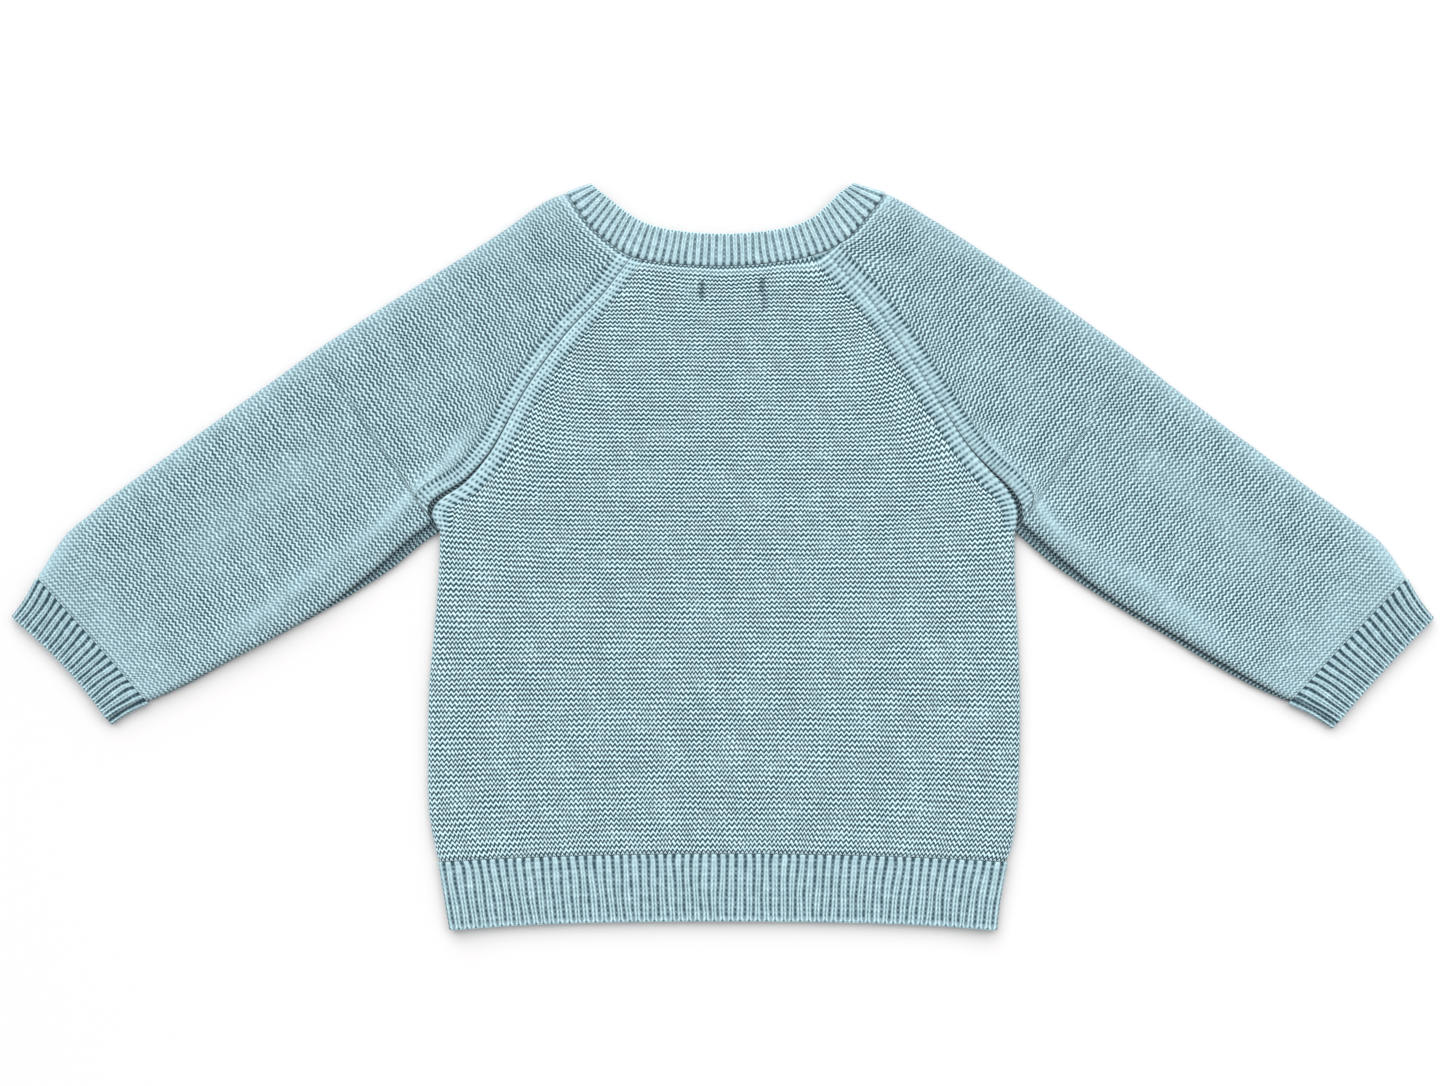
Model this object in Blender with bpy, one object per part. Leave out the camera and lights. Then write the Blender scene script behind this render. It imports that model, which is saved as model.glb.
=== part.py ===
"""A baby's raglan pullover in fine cotton knit, laid flat on its front so that its back shows.

Each piece is one knitted wall, and the pieces lie 0.3 mm apart where they are sewn. Their plan
comes from short tables of edges, in millimetres on the laid garment. Their height comes from the
way that cloth lies: two layers on each other, rounded over at the folds and at the side seams."""

import math
from bisect import bisect_right
from collections import namedtuple

import bmesh
import bpy
from mathutils import Vector

MM = 0.001

# The cloth, in millimetres
WALL = 1.8  # knitted wall, under its ribs
SEAM = 0.3  # between two sewn pieces
RAGLAN_SEAM = 0.36  # the same, along the slanting rows of a sleeve
SHARP_ANGLE = 40.0  # degrees
LAID = 4.6  # top of the back, where both layers lie on each other
ROLL = 3.1  # outer radius of a fold and of a side seam
CREASE = 20.0  # climb over which the raglan seam comes up out of the armpit
BORDER = 7.2  # fashioned border beside a raglan seam
BORDER_RAISE = 0.5
BORDER_STEP = 1.2
BORDER_PAST = 4.0  # from a border's step to the first plain column
RIB_RAISE = 0.9
RIB_SHAPE = ((0.0, 0.0), (0.28, 1.0), (0.72, 1.0))  # place in the rib's width, and height
QUARTER = math.pi / 2

# How finely each piece is divided
FOLD_STEPS = 3
PANEL_FLAT = 13
SLEEVE_FLAT = 5
SIDE_ROWS = 7
ARM_STEPS = (0, 0.5, 1, 2, 3, 4, 5, 6, 7)
HEM_RIBS, HEM_ROWS = 65, 2
CUFF_RIBS, CUFF_ROWS = 21, 2
NECK_RIBS, NECK_ROWS = 46, 2
PLAIN_HEM, PLAIN_CUFF, PLAIN_NECK = 24, 14, 30

# Edges of the body from the hem up to the armpits, and the raglan seams from there to the neck
Edge = namedtuple("Edge", "y left right")
BODY_SIDES = (
    Edge(-167.5, -122.7, 123.0),
    Edge(-154.1, -124.9, 124.6),
    Edge(-137.0, -127.9, 127.9),
    Edge(-127.1, -130.2, 130.5),
    Edge(-113.6, -132.3, 132.4),
    Edge(-86.6, -132.7, 133.6),
    Edge(-59.6, -132.3, 133.7),
    Edge(-32.6, -129.9, 132.7),
    Edge(-5.6, -127.8, 131.4),
    Edge(11.2, -127.4, 131.5),
)
RAGLANS = (
    Edge(11.2, -127.4, 131.5),
    Edge(19.1, -127.6, 131.6),
    Edge(25.9, -122.8, 130.0),
    Edge(31.7, -116.4, 126.0),
    Edge(40.0, -109.3, 118.8),
    Edge(50.6, -102.6, 110.0),
    Edge(70.0, -92.2, 97.5),
    Edge(84.8, -82.8, 88.0),
    Edge(101.9, -69.7, 76.7),
    Edge(118.1, -54.5, 64.6),
    Edge(130.8, -44.7, 52.5),
    Edge(138.0, -39.2, 46.6),
)
ARMPIT = BODY_SIDES[-1].y
SEAM_STATIONS = (0, 0.03, 0.063, 0.09, 0.118, 0.165, 0.23, 0.32, 0.42, 0.53, 0.65, 0.77, 0.89, 1)

# Heights of a panel's course at its middle and at both ends, and how late it bends up
Course = namedtuple("Course", "middle end sharp")
PanelRow = namedtuple("PanelRow", "left right middle sharp station")
HEM_BOTTOM = Course(-163.9, -167.8, 2.6)
COURSES = (
    Course(-133.3, -136.9, 2.0),
    Course(-60.0, -61.0, 2.0),
    Course(-20.0, -19.5, 3.0),
    Course(9.8, 11.2, 4.0),
    Course(32.0, 38.0, 6.0),
    Course(60.0, 69.0, 7.0),
    Course(90.0, 98.5, 7.0),
    Course(112.0, 118.0, 6.0),
    Course(131.2, 138.0, 4.0),
)

# The neckband: its sewn edge and its free edge, from fold to fold over the left, middle and right
Band = namedtuple("Band", "outer_x outer_y inner_x inner_y")
UPPER, LOWER = 1, -1
NECK_CORNERS = {  # heights where the raglan seams meet it
    ("left", UPPER): 135.4,
    ("right", UPPER): 138.0,
    ("left", LOWER): 121.7,
    ("right", LOWER): 124.8,
}
NECK_HEIGHT = 15.0
NECK_FADE = 0.35  # share of a panel's or sleeve's last rows that turn to follow the neck

# Sleeves, from the cuff up to the armpit: the shoulder fold and the underarm seam
Arm = namedtuple("Arm", "fold_x fold_y seam_x seam_y")
ARMS = {
    "left": (
        Arm(-308.7, -8.9, -258.5, -65.5),
        Arm(-296.1, 9.9, -248.3, -61.4),
        Arm(-286.5, 18.2, -238.0, -56.2),
        Arm(-275.4, 27.4, -224.4, -48.5),
        Arm(-255.2, 42.1, -202.1, -36.9),
        Arm(-230.7, 59.5, -175.7, -22.5),
        Arm(-206.3, 76.9, -150.3, -6.5),
        Arm(-191.0, 87.6, -136.0, 5.2),
        Arm(-183.5, 93.0, -127.4, 11.2),
    ),
    "right": (
        Arm(307.7, -9.2, 254.5, -65.5),
        Arm(296.4, 6.6, 247.5, -62.8),
        Arm(286.2, 14.7, 238.0, -58.2),
        Arm(274.7, 23.4, 224.6, -51.3),
        Arm(254.6, 38.2, 203.3, -38.2),
        Arm(230.3, 55.9, 177.5, -22.8),
        Arm(206.3, 73.9, 152.2, -6.7),
        Arm(192.4, 84.9, 139.6, 3.9),
        Arm(185.0, 90.7, 131.5, 11.2),
    ),
}
# and from the armpit up to the neck: the shoulder fold beside a height of the raglan seam
Cap = namedtuple("Cap", "seam_y fold_x fold_y")
CAPS = {
    "left": (
        Cap(11.2, -183.5, 93.0),
        Cap(19.1, -179.0, 96.1),
        Cap(25.9, -173.0, 99.9),
        Cap(35.0, -161.4, 107.4),
        Cap(50.6, -146.8, 116.7),
        Cap(70.0, -130.2, 127.0),
        Cap(84.8, -116.7, 135.6),
        Cap(101.9, -101.0, 145.6),
        Cap(118.1, -85.5, 156.6),
        Cap(127.0, -78.2, 161.1),
        Cap(135.4, -70.5, 163.9),
    ),
    "right": (
        Cap(11.2, 185.0, 90.7),
        Cap(19.1, 180.8, 93.8),
        Cap(25.9, 175.6, 97.6),
        Cap(35.0, 167.0, 103.8),
        Cap(50.6, 152.4, 114.2),
        Cap(70.0, 134.9, 125.9),
        Cap(84.8, 121.5, 134.7),
        Cap(101.9, 105.6, 145.2),
        Cap(118.1, 90.4, 154.6),
        Cap(128.0, 81.6, 159.8),
        Cap(138.0, 73.4, 163.8),
    ),
}
SleeveRow = namedtuple("SleeveRow", "fold seams start gap station")
Cuff = namedtuple("Cuff", "fold_x fold_y seam_x seam_y")
CUFF_WAIST = 0.8  # how far a cuff's sides draw in
CUFF_BOW = {"left": 2.3, "right": 0.8}  # how far the middle of its free edge draws back
CUFF_ENDS = {"left": Cuff(-320.0, -27.0, -275.8, -75.0), "right": Cuff(319.9, -27.7, 275.0, -76.8)}

# Lines along which the cloth stands higher: the folds and side seams, and the soft ridges
Rise = namedtuple("Rise", "x0 y0 x1 y1 height reach")
EDGE_RISES = (
    Rise(-70.5, 163.9, -305.0, -5.0, 1.6, 20.0),
    Rise(73.4, 163.8, 305.0, -5.0, 1.6, 20.0),
    Rise(-127.4, 11.2, -258.5, -65.5, 1.6, 18.0),
    Rise(131.5, 11.2, 254.5, -65.5, 1.6, 18.0),
    Rise(-127.4, 11.2, -122.7, -167.5, 1.6, 16.0),
    Rise(131.5, 11.2, 123.0, -167.5, 1.6, 16.0),
)
SOFT_RIDGES = (
    Rise(-122.0, 44.0, -152.0, 14.0, 1.5, 7.0),
    Rise(-152.0, 14.0, -222.0, -36.0, 1.1, 8.0),
    Rise(124.0, 46.0, 157.0, 6.0, 1.5, 7.0),
    Rise(157.0, 6.0, 226.0, -43.0, 1.1, 8.0),
)
EDGE_BLEND = 3.0  # how sharply one edge's rise takes over from another's

YARN = (0.42, 0.60, 0.64)
RIB_YARN = (0.40, 0.58, 0.62)
YARN_ROUGHNESS = 0.85


def smooth(keys, values, key):
    """The value at a key, on a smooth curve through the values at the keys."""
    key = min(max(key, keys[0]), keys[-1])
    last = len(keys) - 1
    i = min(bisect_right(keys, key) - 1, last - 1)

    def slope(j):
        a, b = max(j - 1, 0), min(j + 1, last)
        return (values[b] - values[a]) / (keys[b] - keys[a])

    span = keys[i + 1] - keys[i]
    t = (key - keys[i]) / span
    start = (2 * t**3 - 3 * t**2 + 1) * values[i] + (t**3 - 2 * t**2 + t) * span * slope(i)
    end = (3 * t**2 - 2 * t**3) * values[i + 1] + (t**3 - t**2) * span * slope(i + 1)
    return start + end


def read(table, key_column, value_column, key):
    """The value column of a table at a key, read smoothly between its rows."""
    keys = [getattr(row, key_column) for row in table]
    return smooth(keys, [getattr(row, value_column) for row in table], key)


def ease(t):
    """0 to 1 with soft ends."""
    t = min(max(t, 0.0), 1.0)
    return t * t * (3 - 2 * t)


def mix(a, b, share):
    return a + (b - a) * share


def edge_x(side, y):
    """Where the body's left or right edge is, at a height."""
    return read(BODY_SIDES if y < ARMPIT else RAGLANS, "y", side, y)


def edge_point(side, y):
    return Vector((edge_x(side, y), y))


def seam_turn(y):
    """How far the cloth at the body's edge has turned from upright to level, at a height."""
    return QUARTER * ease((y - ARMPIT) / CREASE)


def rise(line, x, y):
    """How much a line lifts the cloth at a point."""
    along_x, along_y = line.x1 - line.x0, line.y1 - line.y0
    t = ((x - line.x0) * along_x + (y - line.y0) * along_y) / (along_x**2 + along_y**2)
    t = min(max(t, 0.0), 1.0)
    away = math.hypot(x - line.x0 - t * along_x, y - line.y0 - t * along_y)
    return line.height * math.exp(-((away / line.reach) ** 2))


def top(x, y):
    """Height of the upper layer's face over the table."""
    edges = sum(rise(line, x, y) ** EDGE_BLEND for line in EDGE_RISES) ** (1 / EDGE_BLEND)
    return LAID + edges + sum(rise(line, x, y) for line in SOFT_RIDGES)


def round_fold(cloth):
    """Plan distance from a fold, and the turn there, of a point this far from it in the cloth."""
    turn = min(cloth / ROLL, QUARTER)
    return ROLL * (1 - math.cos(turn)) + max(0.0, cloth - ROLL * QUARTER), turn


def cloth_length(width):
    """Length of the cloth of one layer, between two folds this far apart."""
    return width + (math.pi - 2) * ROLL


def between_folds(cloth, width):
    """Plan distance from the first fold, turn, and the way in from the nearer fold."""
    length = cloth_length(width)
    if cloth < length / 2:
        distance, turn = round_fold(cloth)
        return distance, turn, 1
    distance, turn = round_fold(length - cloth)
    return width - distance, turn, -1


def cloth_point(plan, inward, turn, depth, layer, gap=0.0):
    """A point of a wall, a depth under its face, where the cloth has turned so far round its fold."""
    face = top(plan.x, plan.y) if layer == UPPER else 2 * ROLL
    climb = (face - ROLL - gap - depth) * math.sin(turn)
    moved = plan + inward * (depth * math.cos(turn))
    return Vector((moved.x, moved.y, ROLL + layer * (gap + climb))) * MM


def fold_stations():
    """Columns in from a fold: plan distance, turn and relief."""
    turns = [QUARTER * step / FOLD_STEPS for step in range(FOLD_STEPS + 1)]
    return [(ROLL * (1 - math.cos(turn)), turn, 0.0) for turn in turns]


def seam_stations(start):
    """Columns in from a seam: plan distance, turn and relief. They pass from a roll to a border."""
    bordered = start / QUARTER
    border = (0.0, BORDER / 2, BORDER, BORDER + BORDER_STEP)
    raised = (1.0, 1.0, 1.0, 0.0)
    stations = []
    for step in range(FOLD_STEPS + 1):
        turn = mix(start, QUARTER, step / FOLD_STEPS)
        rolled = ROLL * (math.cos(start) - math.cos(turn))
        distance = mix(rolled, border[step], bordered)
        turn = math.acos(max(0.0, math.cos(start) - distance / ROLL))
        stations.append((distance, turn, BORDER_RAISE * raised[step] * bordered))
    stations.append((stations[-1][0] + BORDER_PAST, QUARTER, 0.0))
    return stations


def join_stations(first, last, width, flat):
    """Columns across a width: distance from its start, turn, relief and the way in."""
    near, far = first[-1][0], width - last[-1][0]
    middle = [(mix(near, far, step / (flat + 1)), QUARTER, 0.0, 1) for step in range(1, flat + 1)]
    opening = [(distance, turn, relief, 1) for distance, turn, relief in first]
    closing = [(width - distance, turn, relief, -1) for distance, turn, relief in reversed(last)]
    return opening + middle + closing


def rib_columns(width, ribs):
    """Columns of a ribbed layer between two folds: distance, turn, relief and the way in."""
    length = cloth_length(width)
    columns = []
    for rib in range(ribs):
        for place, height in RIB_SHAPE:
            distance, turn, inward = between_folds(length * (rib + place) / ribs, width)
            columns.append((distance, turn, RIB_RAISE * height, inward))
    return columns + [(width, 0.0, 0.0, -1)]


def plain_columns(width, flat):
    return join_stations(fold_stations(), fold_stations(), width, flat)


def make_wall(name, columns, rows, place, ring=False):
    """A closed wall of columns by rows. place(column, row, inside) gives each of its points."""
    bm = bmesh.new()
    bmesh.ops.create_grid(bm, x_segments=columns, y_segments=rows, size=0.5)
    for vert in bm.verts:
        vert.co = Vector((round((vert.co.x + 0.5) * columns), round((vert.co.y + 0.5) * rows), 0))
    bmesh.ops.solidify(bm, geom=bm.faces[:], thickness=1.0)
    if ring:
        ends = [f for f in bm.faces if {round(v.co.x) for v in f.verts} in ({0}, {columns})]
        bmesh.ops.delete(bm, geom=ends, context="FACES")
    for vert in bm.verts:
        vert.co = place(round(vert.co.x), round(vert.co.y), vert.co.z < -0.5)
    bmesh.ops.remove_doubles(bm, verts=bm.verts[:], dist=1e-6)
    bmesh.ops.recalc_face_normals(bm, faces=bm.faces[:])
    mesh = bpy.data.meshes.new(name)
    bm.to_mesh(mesh)
    bm.free()
    mesh.shade_smooth()
    mesh.set_sharp_from_angle(angle=math.radians(SHARP_ANGLE))
    return bpy.data.objects.new(name, mesh)


def neck_tables():
    """The neckband's edges over the back and over the front, with the raglan seams on them."""
    corners = {key: edge_x(key[0], y) for key, y in NECK_CORNERS.items()}
    back = (
        Band(-70.5, 163.9, -59.2, 167.9),
        Band(-60.4, 149.9, -51.0, 161.5),
        Band(-50.2, 140.8, -42.4, 154.9),
        Band(corners["left", UPPER], NECK_CORNERS["left", UPPER], -35.0, 150.8),
        Band(-24.1, 132.3, -21.5, 147.3),
        Band(2.4, 131.1, 2.4, 145.8),
        Band(30.8, 133.7, 27.5, 148.3),
        Band(corners["right", UPPER], NECK_CORNERS["right", UPPER], 39.6, 152.7),
        Band(56.5, 143.9, 46.8, 158.6),
        Band(65.4, 153.6, 53.0, 164.6),
        Band(73.4, 163.8, 58.4, 168.1),
    )
    front = (
        Band(-70.5, 163.9, -59.2, 167.9),
        Band(-67.8, 147.0, -55.5, 153.5),
        Band(-61.2, 133.0, -49.5, 141.5),
        Band(corners["left", LOWER], NECK_CORNERS["left", LOWER], -42.0, 133.2),
        Band(-36.0, 111.8, -29.5, 125.0),
        Band(-17.5, 105.8, -14.5, 120.0),
        Band(1.5, 104.2, 1.5, 118.8),
        Band(20.5, 105.8, 17.5, 120.0),
        Band(40.5, 112.4, 33.5, 125.4),
        Band(corners["right", LOWER], NECK_CORNERS["right", LOWER], 47.0, 134.6),
        Band(66.8, 135.6, 54.0, 142.5),
        Band(71.8, 148.6, 57.6, 154.0),
        Band(73.4, 163.8, 58.4, 168.1),
    )
    return {UPPER: back, LOWER: front}


NECK = neck_tables()


def band_lengths(layer):
    """Distance along the middle of the band to each row of its table."""
    rows = NECK[layer]
    middles = [Vector((r.outer_x + r.inner_x, r.outer_y + r.inner_y)) / 2 for r in rows]
    lengths = [0.0]
    for before, after in zip(middles, middles[1:]):
        lengths.append(lengths[-1] + (after - before).length)
    return lengths


def band_point(layer, length, across):
    """A plan point of the band: so far along it, and from 0 at its sewn edge to 1 at its free one."""
    keys = band_lengths(layer)
    outer_x, outer_y, inner_x, inner_y = (smooth(keys, column, length) for column in zip(*NECK[layer]))
    return Vector((mix(outer_x, inner_x, across), mix(outer_y, inner_y, across)))


def corner_length(side, layer):
    """Distance along the band to where a raglan seam meets it."""
    corner = NECK_CORNERS[side, layer]
    return next(k for k, row in zip(band_lengths(layer), NECK[layer]) if row.outer_y == corner)


def sleeve_neck(side, layer, share):
    """The neck edge of a sleeve, from its fold to its raglan seam."""
    ends = {"left": 0.0, "right": band_lengths(layer)[-1]}
    return band_point(layer, mix(ends[side], corner_length(side, layer), share), 0.0)


def panel_neck(layer, share):
    """The neck edge of a panel, from its left raglan seam to its right one."""
    left, right = corner_length("left", layer), corner_length("right", layer)
    return band_point(layer, mix(left, right, share), 0.0)


def neck_share(station):
    """How far a row has turned into the curve of the neck."""
    return ease((station - 1 + NECK_FADE) / NECK_FADE)


def neck_inward(side):
    """The way into the cloth from the fold of the neckband."""
    row = NECK[UPPER][0 if side == "left" else -1]
    along = Vector((row.inner_x - row.outer_x, row.inner_y - row.outer_y)).normalized()
    inward = Vector((along.y, -along.x))
    return inward if side == "left" else -inward


def panel_rows(layer):
    """A panel's rows, from the hem up to the armpits and between the raglan seams to the neck."""
    low = COURSES[0].end
    rows = []
    for step in range(SIDE_ROWS):
        end = mix(low, ARMPIT, step / SIDE_ROWS)
        middle = read(COURSES, "end", "middle", end)
        rows.append(PanelRow(end, end, middle, read(COURSES, "end", "sharp", end), 0.0))
    reach = NECK_CORNERS["left", layer], NECK_CORNERS["right", layer]
    for station in SEAM_STATIONS:
        left, right = (mix(ARMPIT, end, station) for end in reach)
        mean = (left + right) / 2
        middle = read(COURSES, "end", "middle", mean)
        rows.append(PanelRow(left, right, middle, read(COURSES, "end", "sharp", mean), station))
    return rows


def course_point(row, share):
    """A plan point of a panel's course, with its ends on the side or raglan seams."""
    left, right = edge_point("left", row.left), edge_point("right", row.right)
    out = abs(2 * share - 1) ** row.sharp
    end = row.left if share < 0.5 else row.right
    return Vector((mix(left.x, right.x, share), mix(row.middle, end, out)))


def make_panel(name, layer):
    """The back or the front panel."""
    rows = panel_rows(layer)

    def stations(row):
        width = edge_x("right", row.right) - edge_x("left", row.left)
        left, right = seam_stations(seam_turn(row.left)), seam_stations(seam_turn(row.right))
        return width, join_stations(left, right, width, PANEL_FLAT)

    table = [stations(row) for row in rows]

    def place(column, row, inside):
        width, columns = table[row]
        distance, turn, relief, inward = columns[column]
        share = distance / width
        plan = course_point(rows[row], share)
        last = course_point(rows[-1], share)
        plan += (panel_neck(layer, share) - last) * neck_share(rows[row].station)
        depth = WALL if inside else -relief * (layer == UPPER)
        return cloth_point(plan, Vector((inward, 0)), turn, depth, layer, SEAM / 2)

    return make_wall(name, len(table[0][1]) - 1, len(rows) - 1, place)


def sleeve_rows(side):
    """A sleeve's rows from its cuff up to its neck edge: its fold and its seam on both layers."""
    arms, caps = ARMS[side], CAPS[side]
    steps = range(len(arms))
    rows = []
    for step in ARM_STEPS:
        fold_x, fold_y, seam_x, seam_y = (smooth(steps, column, step) for column in zip(*arms))
        seam, start = Vector((seam_x, seam_y)), {UPPER: 0.0, LOWER: 0.0}
        rows.append(SleeveRow(Vector((fold_x, fold_y)), {UPPER: seam, LOWER: seam}, start, 0.0, 0.0))
    for station in SEAM_STATIONS:
        reach = {layer: mix(ARMPIT, NECK_CORNERS[side, layer], station) for layer in (UPPER, LOWER)}
        fold = (read(caps, "seam_y", column, reach[UPPER]) for column in ("fold_x", "fold_y"))
        seams = {layer: edge_point(side, y) for layer, y in reach.items()}
        start = {layer: seam_turn(y) for layer, y in reach.items()}
        rows.append(SleeveRow(Vector(fold), seams, start, RAGLAN_SEAM, station))
    return rows


def make_sleeve(name, side):
    """A sleeve, from its back edge over the shoulder fold to its front edge."""
    rows = sleeve_rows(side)

    def reach(row, layer):
        across = row.seams[layer] - row.fold
        return across.length - row.gap, across.normalized()

    def stations(row, layer):
        seam = seam_stations(row.start[layer])
        return join_stations(fold_stations(), seam, reach(row, layer)[0], SLEEVE_FLAT)

    table = [{layer: stations(row, layer) for layer in (UPPER, LOWER)} for row in rows]
    half = len(table[0][UPPER]) - 1

    def place(column, row, inside):
        layer = UPPER if column <= half else LOWER
        distance, turn, relief, inward = table[row][layer][abs(column - half)]
        at_fold = inward == 1
        width, across = reach(rows[row], layer)
        share = distance / width
        plan = rows[row].fold + across * distance
        last_width, last_across = reach(rows[-1], layer)
        last = rows[-1].fold + last_across * last_width * share
        turned = neck_share(rows[row].station)
        plan += (sleeve_neck(side, layer, share) - last) * turned
        if at_fold:
            middle = (rows[row].seams[UPPER] + rows[row].seams[LOWER]) / 2 - rows[row].fold
            across = middle.normalized().lerp(neck_inward(side), turned).normalized()
        depth = WALL if inside else -relief * (layer == UPPER)
        gap = 0.0 if at_fold else SEAM / 2
        return cloth_point(plan, across * inward, turn, depth, layer, gap)

    return make_wall(name, 2 * half, len(rows) - 1, place)


def make_cuff(name, side):
    """A ribbed cuff: a tube laid flat, from the end of its sleeve."""
    near, far = ARMS[side][0], CUFF_ENDS[side]
    near_fold, near_seam = Vector((near.fold_x, near.fold_y)), Vector((near.seam_x, near.seam_y))
    far_fold, far_seam = Vector((far.fold_x, far.fold_y)), Vector((far.seam_x, far.seam_y))
    gap = SEAM / (far_seam - near_seam).length

    def ends(row):
        share = mix(gap, 1.0, row / CUFF_ROWS)
        waist = CUFF_WAIST * math.sin(math.pi * share)
        fold, seam = near_fold.lerp(far_fold, share), near_seam.lerp(far_seam, share)
        across = (fold - seam).normalized()
        return seam + across * waist, fold - across * waist

    def stations(row):
        seam, fold = ends(row)
        width = (fold - seam).length
        ribbed = [(*column, UPPER) for column in rib_columns(width, CUFF_RIBS)]
        plain = [(*column, LOWER) for column in reversed(plain_columns(width, PLAIN_CUFF))]
        return ribbed + plain[1:]

    table = [stations(row) for row in range(CUFF_ROWS + 1)]

    def place(column, row, inside):
        distance, turn, relief, inward, layer = table[row][column]
        seam, fold = ends(row)
        across = (fold - seam).normalized()
        bow = CUFF_BOW[side] * math.sin(math.pi * distance / (fold - seam).length) * row / CUFF_ROWS
        plan = seam + across * distance + (near_seam - far_seam).normalized() * bow
        depth = WALL if inside else -relief
        return cloth_point(plan, across * inward, turn, depth, layer)

    return make_wall(name, len(table[0]) - 1, CUFF_ROWS, place, ring=True)


def make_hem(name, layer):
    """The ribbed hem of the back, or the front's, which is plain because it lies on the table."""

    def row_of(row):
        share = row / HEM_ROWS
        end = mix(HEM_BOTTOM.end, COURSES[0].end - SEAM, share)
        middle = mix(HEM_BOTTOM.middle, COURSES[0].middle - SEAM, share)
        return PanelRow(end, end, middle, mix(HEM_BOTTOM.sharp, COURSES[0].sharp, share), 0.0)

    def stations(row):
        width = edge_x("right", row.right) - edge_x("left", row.left)
        if layer == UPPER:
            return width, rib_columns(width, HEM_RIBS)
        return width, plain_columns(width, PLAIN_HEM)

    table = [stations(row_of(row)) for row in range(HEM_ROWS + 1)]

    def place(column, row, inside):
        width, columns = table[row]
        distance, turn, relief, inward = columns[column]
        plan = course_point(row_of(row), distance / width)
        depth = WALL if inside else -relief
        return cloth_point(plan, Vector((inward, 0)), turn, depth, layer, SEAM / 2)

    return make_wall(name, len(table[0][1]) - 1, HEM_ROWS, place)


def make_neckband(name):
    """The ribbed neckband: a ring from fold to fold over the back, then under it over the front."""
    lengths = {layer: band_lengths(layer)[-1] for layer in (UPPER, LOWER)}
    ribbed = [(*column, UPPER) for column in rib_columns(lengths[UPPER], NECK_RIBS)]
    plain = [(*column, LOWER) for column in reversed(plain_columns(lengths[LOWER], PLAIN_NECK))]
    columns = ribbed + plain[1:]

    def place(column, row, inside):
        distance, turn, relief, inward, layer = columns[column]
        across = mix(SEAM / NECK_HEIGHT, 1.0, row / NECK_ROWS)
        plan = band_point(layer, distance, across)
        depth = WALL if inside else -relief
        side = "left" if inward == 1 else "right"
        return cloth_point(plan, neck_inward(side), turn, depth, layer)

    return make_wall(name, len(columns) - 1, NECK_ROWS, place, ring=True)


def make_yarn(name, colour):
    """Matt cotton yarn."""
    material = bpy.data.materials.new(name)
    material.use_nodes = True
    shader = material.node_tree.nodes["Principled BSDF"]
    shader.inputs["Base Color"].default_value = (*colour, 1.0)
    shader.inputs["Roughness"].default_value = YARN_ROUGHNESS
    shader.inputs["Metallic"].default_value = 0.0
    return material


def clear_scene():
    for obj in list(bpy.data.objects):
        bpy.data.objects.remove(obj, do_unlink=True)


def main():
    clear_scene()
    pieces = (
        (make_panel("back_panel", UPPER), YARN),
        (make_panel("front_panel", LOWER), YARN),
        (make_sleeve("sleeve_left", "left"), YARN),
        (make_sleeve("sleeve_right", "right"), YARN),
        (make_cuff("cuff_left", "left"), RIB_YARN),
        (make_cuff("cuff_right", "right"), RIB_YARN),
        (make_hem("hem_back", UPPER), RIB_YARN),
        (make_hem("hem_front", LOWER), RIB_YARN),
        (make_neckband("neckband"), RIB_YARN),
    )
    collection = bpy.data.collections.new("knit_sweater")
    bpy.context.scene.collection.children.link(collection)
    for piece, colour in pieces:
        piece.data.materials.append(make_yarn(piece.name + "_yarn", colour))
        collection.objects.link(piece)


main()
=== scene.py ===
"""Dresses the laid pullover: its knit, ribs and sewing, over the frame's solids, and its stage."""

import math
from collections import namedtuple

import bmesh
import bpy
import numpy as np
from bpy.props import FloatProperty, FloatVectorProperty, PointerProperty
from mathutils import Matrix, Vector


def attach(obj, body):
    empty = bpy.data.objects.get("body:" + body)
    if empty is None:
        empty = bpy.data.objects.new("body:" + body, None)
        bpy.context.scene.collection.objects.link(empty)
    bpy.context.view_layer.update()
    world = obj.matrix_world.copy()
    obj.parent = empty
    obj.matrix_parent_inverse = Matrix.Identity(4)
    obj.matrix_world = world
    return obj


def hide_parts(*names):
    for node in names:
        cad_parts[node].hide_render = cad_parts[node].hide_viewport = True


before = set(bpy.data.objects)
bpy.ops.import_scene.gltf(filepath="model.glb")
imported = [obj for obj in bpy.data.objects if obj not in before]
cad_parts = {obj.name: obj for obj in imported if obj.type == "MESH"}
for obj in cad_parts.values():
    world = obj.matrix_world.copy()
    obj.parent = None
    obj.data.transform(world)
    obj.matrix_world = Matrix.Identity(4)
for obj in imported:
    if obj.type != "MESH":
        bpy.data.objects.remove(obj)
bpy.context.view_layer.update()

bl_info = {
    "name": "Knit Sweater",
    "version": (1, 0, 0),
    "blender": (4, 5, 0),
    "location": "3D View > Sidebar > Knit Sweater",
    "description": "A baby's raglan pullover, laid flat on its front, stitch by stitch",
    "category": "Add Mesh",
}

MM = 0.001
UPPER, LOWER = 1, -1  # the layers of the laid garment
QUARTER = math.pi / 2
TURN = 2 * math.pi

# The laid cloth, in millimetres, and the same as the solids but for its raglan seams
WALL = 1.8
SEAM = 0.3
RAGLAN_SEAM = 0.2
LAID = 4.6  # height of the back's face
ROLL = 3.1  # radius of a rolled edge
TURN_SQUARE = 11.0  # how far up a raglan its edges turn from rolled to square
SEAM_SAMPLES = 300  # points along a raglan seam
LINE_SAMPLES = 400  # points along a fold or an underarm
MERGE, SLIVER = 2e-6, 1e-7  # vertices this close are one, and edges this short go, in metres

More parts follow.
